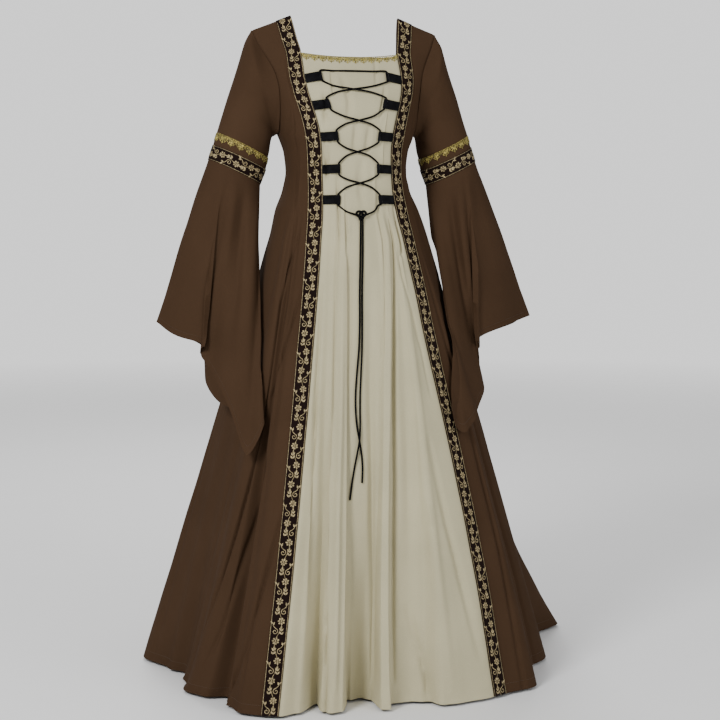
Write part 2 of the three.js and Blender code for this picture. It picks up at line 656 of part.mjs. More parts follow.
function hemPoint(side, turn) {
  const table = SLEEVE_HEMS[side];
  const wrapped = ((turn % 360) + 360) % 360;
  const rows = [...table, { ...table[0], turn: 360 }];
  const value = (column) => read(rows, 'turn', column, wrapped);
  return vector(sideSign(side) * value('x'), value('y'), value('z'));
}

function sleeveFold(turn) {
  return SLEEVE_FOLDS.reduce((sum, fold) => {
    const away = (turn - fold.turn) / fold.wide;
    return sum + fold.rise * Math.exp(-away * away);
  }, 0);
}

// share 0 is the elbow seam, BAND_SHARE the lower edge of the ribbon, 1 the hem
const BAND_SHARE = 0.06;
const BULGE = { out: 3, late: 1.2 };

function lowerSleevePoint(side, turn, share) {
  const step = ELBOW_STEP + ELBOW_GAP + clamp(share / BAND_SHARE, 0, 1);
  const top = sleeveRingPoint(side, turn, Math.min(step, SLEEVE_RINGS.length));
  if (share <= BAND_SHARE) return top;
  const down = (share - BAND_SHARE) / (1 - BAND_SHARE);
  const sign = sideSign(side);
  const angle = radians(turn);
  const round = BULGE.out * Math.sin(Math.PI * Math.min(1, down * BULGE.late));
  const bulge = round + sleeveFold(turn) * down;
  const point = top.lerp(hemPoint(side, turn), down);
  point.x += sign * Math.cos(angle) * bulge;
  point.y -= Math.sin(angle) * bulge;
  const facing = Math.max(0, Math.cos(radians(turn - 90)));
  return clearOfSkirt(point, SLEEVE_CLEAR + SLEEVE_DEPTH_CLEAR * facing * down);
}

function lowerSleeve(side) {
  const sign = sideSign(side);
  const turns = SLEEVE_HEMS[side].flatMap(({ turn }, index, table) => {
    const next = index + 1 < table.length ? table[index + 1].turn : 360;
    return [turn, (turn + next) / 2];
  });
  const shares = [0, BAND_SHARE];
  for (let i = 1; i <= SLEEVE_ROWS; i += 1) {
    shares.push(lerp(BAND_SHARE, 1, i / SLEEVE_ROWS));
  }
  const pointAt = (turn, share) => lowerSleevePoint(side, turn, clamp(share, 0, 1));
  const points = shares.map((share) => turns.map((turn) => pointAt(turn, share)));
  const offsets = shares.map((share) => turns.map((turn) => (
    gridNormal(pointAt, turn, share, sign).multiplyScalar(-CLOTH))));
  add(`lower_sleeve_${side}`, wallGeometry(points, offsets, { around: true }), 'brown');
}

// Trims on the front

const front = panelWall(
  columnsBetween(-SEAM_TURN, SEAM_TURN),
  [necklineLevel, ...LEVELS.filter((z) => z < NECKLINE)],
  false,
);

// The cream panel's own surface at x and the level z
function frontPoint(x, z) {
  const rowAt = (row) => {
    let low = 0;
    while (low < row.length - 2 && row[low + 1].x < x) low += 1;
    const [a, b] = [row[low], row[low + 1]];
    return a.clone().lerp(b, (x - a.x) / (b.x - a.x));
  };
  let level = 0;
  while (level < front.points.length - 2 && rowAt(front.points[level + 1]).z > z) level += 1;
  const high = rowAt(front.points[level]);
  const low = rowAt(front.points[level + 1]);
  return high.lerp(low, (z - high.z) / (low.z - high.z));
}

// A point over the cream panel, moved out from the cloth
function overFront(x, z, out) {
  const across = frontPoint(x + 1, z).sub(frontPoint(x - 1, z));
  const down = frontPoint(x, z - 1).sub(frontPoint(x, z + 1));
  return frontPoint(x, z).addScaledVector(down.cross(across).normalize(), out);
}

function neckBraid() {
  const parts = 4;
  const count = NECK_SCALLOPS * parts;
  const half = read(FRONT_SEAM, 'z', 'x', NECKLINE) - SEAM_GAP;
  const grid = [0, 1].map((row) => Array.from({ length: count + 1 }, (_, index) => {
    const x = lerp(-half, half, index / count);
    const wave = Math.abs(Math.sin((Math.PI * index) / parts));
    const depth = row * (BRAID_DEPTH - SCALLOP_DEPTH * (1 - wave));
    return { x, z: necklineLevel((x / half) * SEAM_TURN) - depth };
  }));
  const over = (out) => grid.map((line) => line.map(({ x, z }) => overFront(x, z, out)));
  const outer = over(LIFT + BRAID_THICK);
  const inner = over(LIFT);
  const offsets = outer.map((line, i) => line.map((point, j) => inner[i][j].clone().sub(point)));
  add('neck_braid', wallGeometry(outer, offsets), 'braid');
}

const loopStart = (z) => read(FRONT_SEAM, 'z', 'x', z) - LOOP_INSET;
const EYE_AT = LOOP_LENGTH - LOOP_NOSE;
const EYE_OUT = LOOP_LIFT + LOOP_NOSE;

// A doubled tape with an eye for the lace in its fold, bent to the curve of the bodice
function loop(side, index) {
  const sign = sideSign(side);
  const { z, rise } = LOOPS[index];
  const shape = new THREE.Shape();
  const spread = Math.asin(TAPE_HALF / LOOP_NOSE);
  shape.moveTo(0, EYE_OUT - TAPE_HALF);
  shape.lineTo(EYE_AT - LOOP_NOSE * Math.cos(spread), EYE_OUT - TAPE_HALF);
  shape.absarc(EYE_AT, EYE_OUT, LOOP_NOSE, Math.PI + spread, Math.PI * 3 - spread, false);
  shape.lineTo(0, EYE_OUT + TAPE_HALF);
  const eye = new THREE.Path();
  eye.absarc(EYE_AT, EYE_OUT, LOOP_EYE, 0, Math.PI * 2, true);
  shape.holes.push(eye);
  const solid = new THREE.ExtrudeGeometry(shape, {
    depth: LOOP_WIDTH, steps: 1, bevelEnabled: false, curveSegments: 5,
  });
  const place = solid.getAttribute('position');
  const positions = [];
  for (let i = 0; i < place.count; i += 1) {
    const along = place.getX(i);
    const high = z + place.getZ(i) - LOOP_WIDTH / 2 + (rise * along) / LOOP_LENGTH;
    const drop = (EYE_OUT - TAPE_HALF - LOOP_LIFT) * (1 - smooth(along / (EYE_AT - LOOP_LEVEL)));
    const point = overFront(sign * (loopStart(high) - along), high, place.getY(i) - drop);
    positions.push(...point.toArray());
  }
  const faces = Array.from({ length: place.count }, (_, i) => i);
  add(`loop_${side}_${index + 1}`, facingOut(positions, faces), 'velvet');
}

// A curve through its points that gives each of them as a step
class Route extends THREE.CatmullRomCurve3 {
  getUtoTmapping(u) {
    return u;
  }
}

function cord(name, points) {
  const section = new THREE.Shape();
  for (let i = 0; i < LACE_SIDES; i += 1) {
    const angle = ((i + 0.5) / LACE_SIDES) * Math.PI * 2;
    const [x, y] = [LACE_RADIUS * Math.cos(angle), LACE_RADIUS * Math.sin(angle)];
    if (i === 0) section.moveTo(x, y);
    else section.lineTo(x, y);
  }
  const route = new Route(points, false, 'centripetal');
  const solid = new THREE.ExtrudeGeometry(section, {
    steps: points.length - 1, extrudePath: route, bevelEnabled: false,
  });
  const place = solid.getAttribute('position');
  const faces = Array.from({ length: place.count }, (_, i) => i);
  add(name, facingOut([...place.array], faces), 'lace');
}

const LACE_REST = LACE_RADIUS + 0.5;
const LACE_OVER = LACE_REST + 2 * LACE_RADIUS + 0.5;

// A place along the eye of a loop, from its lower end (0) to its upper end (1)
function eyePoint(sign, index, share) {
  const { z, rise } = LOOPS[index];
  const [low, high] = [-0.5, 0.5].map((end) => {
    const level = z + end * LOOP_WIDTH + (rise * EYE_AT) / LOOP_LENGTH;
    return overFront(sign * (loopStart(level) - EYE_AT), level, EYE_OUT);
  });
  return low.lerp(high, share);
}

// One half of the lacing, from the top run down to the knot
function strand(startSign) {
  const route = [];
  let sign = startSign;
  LOOPS.forEach((_, index) => {
    const top = eyePoint(sign, index, 1 + EYE_PAST);
    const foot = eyePoint(sign, index, -EYE_PAST);
    const mouth = eyePoint(sign, index, 1 + MOUTH_PAST);
    mouth.x -= sign * (index === 0 ? MOUTH_IN.first : MOUTH_IN.other);
    route.push(mouth, top, foot);
    const crossing = CROSSINGS[index];
    if (!crossing) return;
    const over = (index % 2 === 0) === (startSign < 0) ? LACE_OVER : LACE_REST;
    const entry = eyePoint(-sign, index + 1, 1 + MOUTH_PAST);
    const lift = lerp(LACE_REST, over, TO_CROSSING.lift);
    const between = (end, out) => overFront(
      lerp(end.x, crossing.x, TO_CROSSING.x), lerp(end.z, crossing.z, TO_CROSSING.z), out,
    );
    const leave = { x: foot.x - sign * LEAVING.x, z: foot.z - LEAVING.z };
    route.push(overFront(leave.x, leave.z, EYE_OUT - LEAVING.out));
    route.push(between(foot, lift));
    route.push(overFront(crossing.x, crossing.z, over));
    route.push(between(entry, lift));
    sign = -sign;
  });
  const foot = eyePoint(sign, LOOPS.length - 1, -EYE_PAST);
  const stop = KNOT.x + sign * (KNOT.wide + TO_KNOT.stop);
  const near = { x: lerp(foot.x, stop, TO_KNOT.near), z: foot.z - TO_KNOT.drop };
  const far = { x: lerp(foot.x, stop, TO_KNOT.far), z: lerp(foot.z, KNOT.z, TO_KNOT.down) };
  route.push(overFront(near.x, near.z, EYE_OUT - LEAVING.out));
  route.push(overFront(far.x, far.z, LACE_REST));
  route.push(overFront(stop, KNOT.z + TO_KNOT.rise, KNOT.out));
  return route;
}

function lacing() {
  const top = LOOPS[0].z + LOOP_WIDTH / 2 + LOOPS[0].rise + TOP_RUN.rise;
  const run = TOP_RUN.at.map((x) => overFront(x, top, LACE_REST));
  cord('lace', [...strand(-1).reverse(), ...run, ...strand(1)]);
}

function knot() {
  const ball = new THREE.SphereGeometry(1, 12, 8);
  const centre = overFront(KNOT.x, KNOT.z, KNOT.out);
  ball.scale(KNOT.wide, KNOT.thick, KNOT.high);
  ball.translate(centre.x, centre.y, centre.z);
  const place = ball.getAttribute('position');
  add('lace_knot', facingOut([...place.array], [...ball.getIndex().array]), 'lace');
}

function laceEnd(side) {
  const points = LACE_ENDS[side].map(({ x, z, lift = 0 }, index) => {
    const start = index === 0 ? KNOT.out - END_START : LACE_REST + END_LIFT;
    return overFront(x, z, start + lift);
  });
  cord(`lace_end_${side}`, points);
}

add('front_panel', wallGeometry(front.points, front.offsets), 'cream');
for (const side of ['left', 'right']) {
  sideFront(side);
  backPanel(side);
  upperSleeve(side);
  lowerSleeve(side);
  bandOnSleeve(`sleeve_braid_${side}`, side, {
    from: 4, to: 4.68, parts: 3, rows: 1, thick: BRAID_THICK, scallops: 0.24, paint: 'braid',
  });
  bandOnSleeve(`sleeve_ribbon_${side}`, side, {
    from: 5, to: 7, parts: 2, rows: 2, thick: RIBBON_THICK, scallops: 0, paint: 'ribbon',
  });
  LOOPS.forEach((_, index) => loop(side, index));
  laceEnd(side);
}
neckBraid();
lacing();
knot();

export default dress;
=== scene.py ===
"""A floor-length historical dress with a cream front, brown sides and back, trumpet sleeves, woven
flower ribbons, gold scalloped braid, velvet loops and a laced front.

Every piece is cloth, ribbon, braid or cord that stands for the solid of its name. The tables are in
millimetres, as in the source of the solids, and the meshes in metres.
"""

import functools
import math

import bpy
import numpy as np
from bpy.props import FloatProperty, FloatVectorProperty, PointerProperty
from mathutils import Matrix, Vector, noise


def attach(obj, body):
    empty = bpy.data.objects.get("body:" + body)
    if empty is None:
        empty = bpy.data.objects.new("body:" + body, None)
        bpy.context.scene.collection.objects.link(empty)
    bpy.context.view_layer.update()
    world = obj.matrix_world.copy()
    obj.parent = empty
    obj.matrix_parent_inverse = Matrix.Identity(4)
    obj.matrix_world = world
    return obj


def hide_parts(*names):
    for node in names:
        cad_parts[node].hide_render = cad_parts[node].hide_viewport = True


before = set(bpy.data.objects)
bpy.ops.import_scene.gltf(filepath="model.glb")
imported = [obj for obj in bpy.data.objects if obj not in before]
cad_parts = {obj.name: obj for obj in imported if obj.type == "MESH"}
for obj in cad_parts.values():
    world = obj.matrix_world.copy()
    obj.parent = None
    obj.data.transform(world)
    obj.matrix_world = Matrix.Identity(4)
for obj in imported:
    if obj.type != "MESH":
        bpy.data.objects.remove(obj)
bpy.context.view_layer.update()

bl_info = {
    "name": "Historical dress",
    "version": (1, 0, 0),
    "blender": (4, 5, 0),
    "location": "3D View > Sidebar > Dress",
    "description": "Makes a laced historical dress piece by piece",
    "category": "Object",
}

MM = 0.001
SIDES = {"left": 1, "right": -1}

# Main levels and turns of the body, in millimetres and degrees
HEM = -1385
SKIRT_TOP = -469
ARMPIT = -250
NECKLINE = -80
NECKLINE_DIP = 8
SHOULDER_NECK = 117
SHOULDER_TIP = 200
SHOULDER_FALL = 32
SHOULDER_BLEND = -150
# Level from which the rows of the cream front run level, below its neckline
LEVEL_ROWS = -127
# Points inside the dress that the body's and the neckline's normals point away from
BODY_MIDDLE = (0, 10, -600)
NECK_MIDDLE = (0, 10, -200)
RIDGE = -12
RIDGE_EDGE = 0.2
RIDGE_FOOT = -50
RIDGE_ROWS = 9
FOLD_FADE = 75
SEAM_TURN = 30.3
RIBBON_TURN = 35
SEAM_SWAY = {"turn": 2, "from": -640, "to": -1450}
BACK_NECK_TURN = 128
RIBBON_WIDTH = 34
BRAID_DEPTH = 17
SEAM_ROLL = {"depth": 1.1, "width": 2.6}
PATTERN_MARGIN = 3
STITCH_EDGE = 16.3
CUFF_STITCHES = {"share": 0.93, "above": 14}
HEM_BAND = 40

# Sleeves
SLEEVE_MID_Y = 22
ELBOW_STEP = 6
ELBOW_GAP = 0.02
BAND_SHARE = 0.06
BULGE = {"out": 3, "late": 1.2}
SLEEVE_CLEAR = 9
SLEEVE_DEPTH_CLEAR = 24
ARMHOLE_GAP = 0.5
ARMPIT_GAP = 2.4
# Rows of the sleeve's seam allowance under the armhole: how far in and how deep
SEAM_ROWS = ((5, 2.8), (0, 2.4))
BRAID_STEPS = (4, 4.68)
BAND_STEPS = (5, 7)
SLEEVE_SCALLOPS = 16
NECK_SCALLOPS = 12
SLEEVE_REPEATS = 5

# Lacing
LOOP_LENGTH = 35
TAPE_HALF = 1.2
LOOP_EYE = 2.15
LOOP_NOSE = 3.1
LOOP_LIFT = 0.7
LOOP_INSET = 0.8
LOOP_LEVEL = 6
EYE_AT = LOOP_LENGTH - LOOP_NOSE
EYE_OUT = LOOP_LIFT + LOOP_NOSE
EYE_PAST = 0.04
MOUTH_PAST = 0.15
MOUTH_IN = {"first": 2.2, "other": 0.8}
LEAVING = {"x": 1.6, "z": 2.6, "out": 0.4}
TOP_RUN = {"rise": 2.5, "at": (-42, -14, 14, 42)}
TO_CROSSING = {"x": 0.42, "z": 0.62, "lift": 0.35}
TO_KNOT = {"near": 0.12, "drop": 3, "far": 0.45, "down": 0.6, "stop": 1.2, "rise": 0.6}
END_START = 0.6
KNOT = {"x": -3, "z": -420, "out": 6, "wide": 9.5, "size": 3.5, "flat": 1, "depth": 2.4,
        "cord": 1.35}

# Large soft lights: steps back, right and up in metres, size and power
LAMPS = {
    "key": (3.0, -1.9, 1.5, 1.3, 130), "fill": (2.4, 2.6, 0.3, 2.2, 42),
    "rear": (-3.0, -0.6, 2.0, 2.2, 110),
}
LAMP_AIM = (0, 0, -0.65)
# The floor: radius, rings and the power that spaces them, corners, millimetres below the hem, and
# the distances over which it fades out, in metres like the radius
FLOOR = {"radius": 14.0, "rings": 24, "power": 1.5, "corners": 64, "under": 6, "fade": (2.6, 7.0)}
# The photograph's camera: where it stands round the dress, its height and how far it looks down
CAMERA = {"turn": -14, "away": 3500, "aside": 29, "height": -387, "pitch": 5.61, "lens": 81.4}
# Strength of the world as light and as the background that the camera sees
WORLD = {"light": 0.54, "seen": 1.43}


class Table:
    """Rows of named columns. Between its rows a column is read along a smooth curve."""

    def __init__(self, names, rows):
        self.names = names.split()
        data = np.array(rows, float)
        if data[0, 0] > data[-1, 0]:
            data = data[::-1]
        self.columns = {name: data[:, i].copy() for i, name in enumerate(self.names)}

    def __getitem__(self, name):
        return self.columns[name]

    @functools.lru_cache(maxsize=None)
    def slopes(self, name):
        """The curve's slope at each row, flat at a highest or lowest row"""
        chord = np.diff(self[name]) / np.diff(self[self.names[0]])
        before, after = chord[:-1], chord[1:]
        product, total = before * after, before + after
        inner = np.where(product > 0, 2 * product / np.where(product > 0, total, 1), 0)
        return np.concatenate([chord[:1], inner, chord[-1:]])

    def read(self, name, place):
        """The column at a place, or at an array of places, along the first column"""
        key, value, slope = self[self.names[0]], self[name], self.slopes(name)
        place = np.clip(place, key[0], key[-1])
        low = np.clip(np.searchsorted(key, place) - 1, 0, len(key) - 2)
        span = key[low + 1] - key[low]
        t = (place - key[low]) / span
        return (
            (1 + 2 * t) * (1 - t) ** 2 * value[low]
            + t * t * (3 - 2 * t) * value[low + 1]
            + t * (1 - t) ** 2 * span * slope[low]
            + t * t * (t - 1) * span * slope[low + 1]
        )


# Level rings of the body: half width, y of the middle, reach to the front and back, squareness
RINGS = Table("z half mid front back square", [
    (0, 215, 20, 0.2, 0.2, 2.6), (-12, 213, 20, 13, 12, 2.6), (-50, 205, 20, 34, 31, 2.6),
    (-80, 195, 20, 52, 48, 2.6), (-127, 178, 20, 87, 72, 2.5), (-160, 168, 18, 108, 84, 2.4),
    (-192, 160, 16, 117, 90, 2.3), (-222, 154, 14, 119, 92, 2.3), (-250, 147, 12, 118, 92, 2.3),
    (-285, 133, 10, 116, 90, 2.3), (-325, 129, 8, 117, 88, 2.3), (-365, 137, 5, 121, 96, 2.2),
    (-410, 155, 2, 135, 122, 2.1), (-469, 173, 0, 164, 155, 2), (-560, 200, 0, 203, 192, 2),
    (-709, 244, 0, 252, 240, 2), (-873, 293, 0, 303, 290, 2), (-1100, 360, 0, 366, 360, 2),
    (-1385, 445, 0, 432, 445, 2),
])

# Half width of the cream front, armhole edge and back neck edge, down from the shoulder
FRONT_SEAM = Table("z x", [
    (0, 117), (-50, 109), (-80, 104), (-127, 104), (-160, 100), (-192, 92), (-222, 84), (-250, 78),
    (-285, 74.5), (-325, 74), (-365, 74.5), (-410, 78), (-469, 87.3),
])
ARMHOLE = Table("z x", [
    (0, 200), (-50, 185), (-80, 174), (-127, 158), (-160, 152.5), (-192, 150), (-222, 149),
    (-250, 147),
])
ARMHOLE_LEVELS = (0, -12, -50, -80, -127, -160, -192, -222, -250)
BACK_NECK = Table("z x", [(0, 117), (-50, 122), (-80, 126)])

# Folds of the skirt: turn at the hem and at the top of the skirt, bend of the path, distance from
# the middle at the hem, how late the fold rises, and its depth at the top of the skirt
FOLDS = Table("at waist bend reach rise top", [
    (-180, -180, 1, 425, 1.3, 0), (-165, -165, 1, 462, 1.3, 3), (-151, -151, 1, 405, 1.3, -3),
    (-137, -137, 1, 460, 1.3, 3), (-124, -124, 1, 400, 1.3, -7), (-105, -106, 1, 448, 1.3, -7),
    (-90, -90, 1, 392, 1.5, -4), (-84, -76, 0.5, 366, 1.5, -2), (-75, -63, 0.5, 384, 1.3, -2),
    (-65, -53, 0.5, 417, 1.2, 4), (-58, -50, 0.5, 410, 1.2, 0), (-52.4, -48, 0.5, 380, 1.2, -5),
    (-46.8, -44.5, 0.6, 424, 1.2, -1), (-40, -40, 1, 450, 1.2, 0), (-35, -35, 1, 447, 1.2, 0),
    (-30.3, -30.3, 1, 441, 1.2, 0), (-26.2, -27, 1, 412, 1.6, 0), (-22.8, -23.5, 1, 345, 1.8, -3),
    (-20, -20.3, 1, 394, 1.5, 0), (-17.5, -17.5, 1, 403, 1.3, 2), (-14.5, -13.6, 1, 392, 1.3, 3),
    (-12.4, -11, 1, 318, 2, -3), (-8, 0, 1.4, 304, 2, 0), (-4.8, 9, 1.8, 318, 2, -3),
    (-3, 12, 2.2, 386, 1.7, 4), (-0.8, 16, 2.4, 388, 1.7, 5), (1, 20, 2.5, 352, 1.7, -3),
    (7, 22, 2, 351, 1.5, -2), (11.5, 23.4, 1.6, 364, 1.5, 2), (14.5, 24.6, 1.4, 400, 1.5, 3),
    (20, 26.4, 1, 408, 1.3, 0), (30.3, 30.3, 1, 420, 1.2, 0), (35, 35, 1, 425, 1.2, 0),
    (45, 45, 1, 450, 1.2, 2), (54, 52, 1, 424, 1.2, -3), (62.8, 60, 1, 405, 1.2, -2),
    (76, 74, 1, 438, 1.2, 2), (90, 90, 1, 448, 1.3, 0), (99, 98, 1, 478, 2, 4),
    (106, 105, 1, 572, 2.9, 4), (114, 113, 1, 476, 2, 4), (125, 125, 1, 405, 1.3, -3),
    (139, 139, 1, 462, 1.3, 3), (153, 153, 1, 404, 1.3, -3), (166, 166, 1, 460, 1.3, 3),
    (180, 180, 1, 425, 1.3, 0),
])

# Rings of the upper sleeve: outermost and innermost points, half depth
SLEEVE_RINGS = Table("step outX outZ inX inZ deep", [
    (1, 214, -58, 158, -256, 56), (2, 231, -112, 162, -272, 55), (3, 254, -182, 164, -286, 51),
    (4, 275, -246, 167, -299, 47), (5, 283, -272, 172, -323, 46), (6, 288, -287, 178, -338, 45.5),
    (7, 293, -302, 184, -354, 45),
])

# Hem of each trumpet sleeve, from its outer corner (turn 0) over the front to the body side
SLEEVE_HEMS = {
    "right": Table("turn x y z", [
        (0, 406, 15, -642), (30, 366, -40, -668), (58, 323, -75, -688), (75, 323, -47, -706),
        (95, 313, -62, -728), (120, 295, -115, -762), (145, 278, -160, -821),
        (170, 255, -200, -898), (192, 233, -205, -868), (210, 217, -190, -832),
        (235, 243, -158, -820), (258, 290, -86, -805), (282, 308, -14, -762),
        (308, 308, 42, -703), (335, 371, 56, -667), (360, 406, 15, -642),
    ]),
    "left": Table("turn x y z", [
        (0, 409, -20, -640), (30, 321, -82, -657), (58, 256, -132, -685), (75, 262, -104, -702),
        (95, 262, -112, -723), (120, 263, -142, -775), (145, 240, -184, -815),
        (170, 190, -246, -861), (192, 171, -246, -846), (210, 165, -228, -806),
        (235, 203, -186, -798), (258, 265, -116, -790), (282, 276, -40, -747),
        (308, 305, 18, -692), (335, 392, 24, -657), (360, 409, -20, -640),
    ]),
}

# Long soft folds of the trumpet sleeves: turn, height of the ridge, width in degrees
SLEEVE_FOLDS = (
    (24, 8, 18), (52, -7, 14), (84, 9, 16), (118, -6, 14), (262, 5, 20), (300, -6, 18),
)

# Pairs of velvet loops from the top: height and rise towards the middle, and crossings of the lace
LOOPS = ((-137, 5), (-193, 4), (-257, 2), (-324, 1.5), (-387, 0))
CROSSINGS = ((-12, -160), (1, -223), (-3, -288), (-1, -353))

# The two free ends of the lace as they lie on the skirt: x, z and lift
LACE_ENDS = {
    "right": (
        (-5.2, -427.2, 0), (-6.2, -440, 0), (-10, -469, 0), (-16, -520, 0), (-22, -575, 0),
        (-26, -630, 0), (-31, -685, 0), (-38, -735, 0), (-43, -776, 0), (-44.5, -808, 0),
        (-43.5, -838, 0), (-40, -866, 0), (-37, -892, 0), (-36, -918, 0), (-38, -948, 0),
    ),
    "left": (
        (-0.8, -427.2, 0), (-1.6, -440, 0), (-5.2, -469, 0), (-11, -520, 0), (-17, -575, 0),
        (-21, -630, 0), (-25, -685, 0), (-30, -735, 0), (-34, -776, 0), (-36, -808, 0),
        (-37.5, -838, 1.9), (-40.5, -866, 4), (-46, -892, 2.5), (-51, -915, 0), (-57, -945, 0),
        (-64, -981, 0),
    ),
}

# Turns between which the front lies flattest and its columns are closest
FRONT_MIDDLE = (-17, 3)
# Widest steps of the shells' grids: rows in millimetres, columns in degrees, sleeves in steps and shares
STEPS = {
    "rows": 7, "middle": 0.22, "beside": (0.6, 0.8), "side": 0.4, "back": 0.55, "turn": 3.6,
    "sleeve": 0.11, "hem": 2.4, "share": 0.013, "stitches": {"side": 0.8, "back": 1.1, "front": 0.45},
}
# Slow waves of the cloth: length, height and seed
WAVES = {"body": (85, 1.1, 1), "upper": (60, 1, 2), "lower": (75, 1.6, 3)}
# How a crease fades at its ends: share where it starts, share of its run and power
CREASE_ENDS = (0.06, 0.88, 0.7)
# Creases pressed into the cloth: a path of turns and levels, then the width and depth in millimetres.
# A negative depth is a ridge.
FRONT_CREASES = (
    (-26, -255, -25, -345, 5, 6), (-13, -350, -12.5, -520, 2.4, -3.4), (2, -200, 1, -330, 4, -2.4),
    (-2, -380, -3, -520, -4, -700, 2.6, 7), (7, -400, 8, -600, 8, -2.4),
    (-10, -135, -9.5, -185, -10.5, -225, 2, 5), (-18.5, -165, -24, -232, 3.6, 5.5),
    (-22, -270, -26, -340, 4, 6), (-12.5, -375, -14, -500, 2.2, 6), (-16.5, -340, -19, -515, 3, 6.5),
    (-25, -200, -18, -235, 4, 3), (-12, -118, -14, -172, 2.2, 4.4), (-8.5, -225, -9, -290, 1.8, 5),
    (-5.5, -235, -6, -295, 1.8, 4.4), (-3, -90, -4, -150, 1.8, 3), (-0.5, -150, -1.5, -220, 1.8, 4.4),
    (28.5, -395, 20.5, -495, 5, 5), (-7, -300, -7.5, -400, 2.2, 4.4), (-3.5, -320, -3, -390, 2, -2.4),
    (26, -380, 21.5, -490, 10.5, -500, 14, -560, 23.5, -690, 23.5, -780, 7, 4),
    (-20, -480, -20.5, -800, -21.5, -960, -20.5, -1180, -20, -1500, 3.4, 9),
    (-28, -560, -27, -800, -25, -1100, -24.5, -1340, 4, 7),
    (-12.5, -460, -13.5, -745, -13.5, -1180, -13, -1500, 3, 9),
    (-7.5, -540, -7.5, -785, -6.5, -1025, -4.5, -1345, 6, 10),
    (-16, -520, -16.5, -785, -17, -1015, -16.5, -1340, 5, -7),
    (6, -430, 2, -600, 1.5, -770, 2.5, -945, 2, -1340, 4.5, 12),
    (11, -560, 12.5, -710, 13, -950, 17, -1360, 9, -8),
    (7, -1200, 10.5, -1295, 14, -1440, 6, 7.5), (16.5, -870, 20.5, -1035, 25, -1200, 27, -1300, 8, 8),
    (8, -800, 8, -1100, 9, 4),
)
SIDE_CREASES = (
    (60, -205, 66, -300, 9, 2), (48, -280, 52, -400, 10, -1.6), (72, -300, 60, -420, 9, 1.8),
    (80, -330, 70, -400, 8, 1.6), (55, -330, 75, -345, 7, 1.1), (50, -300, 70, -318, 7, 0.9),
    (84, -262, 62, -236, 9, 2.2), (86, -250, 70, -205, 8, 1.8), (44, -420, 46, -560, 9, 1.8),
    (64, -400, 67, -600, 11, -2.4), (40, -90, 46, -200, 10, 1.2),
)
# Long valleys of each side front, on the wearer's right and left
SIDE_VALLEYS = {
    "right": (
        (44, -455, 54, -520, 59.5, -600, 57.5, -720, 56.5, -840, 59, -935, 62, -1060, 66, -1200,
         70, -1300, 76, -1440, 4.5, 8),
        (36, -570, 41, -645, 47, -710, 54, -790, 4, 6),
        (34.5, -990, 37.5, -1085, 40, -1180, 43, -1270, 53, -1440, 4.5, 8),
        (47, -900, 55, -1095, 58.5, -1250, 62, -1330, 6, 6), (40.5, -1220, 42, -1340, 4, 5),
        (74, -700, 78, -1000, 84, -1440, 9, 4), (50, -620, 48, -900, 10, -2.6),
    ),
    "left": (
        (41, -520, 44, -800, 43, -1100, 42, -1440, 5, 6.5), (50, -480, 53, -760, 54, -1440, 5, 7.5),
        (60, -600, 66, -900, 68, -1200, 69, -1440, 5, 7), (75, -560, 80, -900, 83, -1440, 9, 4),
        (57, -900, 60, -1180, 61, -1440, 5, 3),
    ),
}
BACK_CREASES = (
    (95, -262, 118, -236, 9, 2.2), (100, -330, 125, -345, 8, 1.3), (110, -300, 134, -312, 8, 1.1),
    (130, -350, 150, -342, 8, 1.2), (152, -330, 172, -340, 9, 1), (120, -380, 124, -520, 10, 2),
    (140, -390, 142, -560, 10, -2), (160, -400, 158, -600, 10, 2.2), (172, -120, 168, -260, 12, -1.2),
    (135, -110, 150, -200, 12, 1.2),
)
BACK_VALLEYS = {
    "right": (
        (98, -520, 101, -900, 102, -1440, 7, 4), (116, -470, 119, -800, 121, -1440, 7, 4.4),
        (134, -560, 130, -1000, 132, -1440, 8, 3.6), (150, -480, 153, -900, 151, -1440, 7, 4.2),
        (170, -520, 167, -1000, 170, -1440, 8, 3.4),
    ),
    "left": (
        (96, -560, 95, -1000, 96, -1440, 8, 3.6), (112, -480, 116, -900, 118, -1440, 7, 4.2),
        (128, -520, 127, -1440, 7, 3.8), (146, -470, 150, -800, 154, -1440, 7, 4.4),
        (163, -540, 160, -900, 158, -1440, 8, 3.6),
    ),
}
# Creases of the upper sleeve: turn and step of both ends, width and depth
UPPER_CREASES = (
    (150, 0.7, 105, 2.4, 8, 2.4), (172, 0.9, 140, 3.4, 8, 2.6), (188, 0.8, 225, 2.8, 8, 2.4),
    (200, 0.5, 245, 1.6, 9, 2), (120, 0.5, 80, 1.3, 9, 1.8), (165, 3.6, 110, 4.3, 7, 1.6),
    (150, 4.8, 100, 5.2, 7, 1.4), (200, 3.8, 250, 4.6, 8, 1.6), (60, 1.2, 40, 3.2, 12, -1.8),
    (300, 1.2, 320, 3.4, 12, -1.6), (180, 4.6, 180, 5.6, 8, 1.8),
)
# Creases of the trumpet sleeve: turn and share of both ends, width in degrees, depth
LOWER_CREASES = (
    (40, 0.2, 34, 0.75, 12, 5), (66, 0.25, 62, 0.98, 11, 9), (88, 0.1, 100, 0.6, 11, -5),
    (112, 0.12, 128, 0.85, 11, 8.5), (150, 0.1, 158, 0.8, 12, -4), (180, 0.12, 190, 0.6, 10, 4),
    (215, 0.2, 222, 0.95, 9, 4), (245, 0.1, 250, 0.7, 8, -3), (276, 0.2, 280, 0.98, 9, 4),
    (325, 0.15, 330, 0.9, 9, 3.5), (12, 0.25, 8, 0.9, 8, -2.5),
)
# Millimetres of cloth for a degree and a step of the upper sleeve, degrees for the trumpet's length
CREASE_SCALE = {"turn": 0.95, "step": 42, "share": 260}


def smooth(share):
    share = np.clip(share, 0, 1)
    return share * share * (3 - 2 * share)


def lerp(a, b, share):
    return a + (b - a) * share


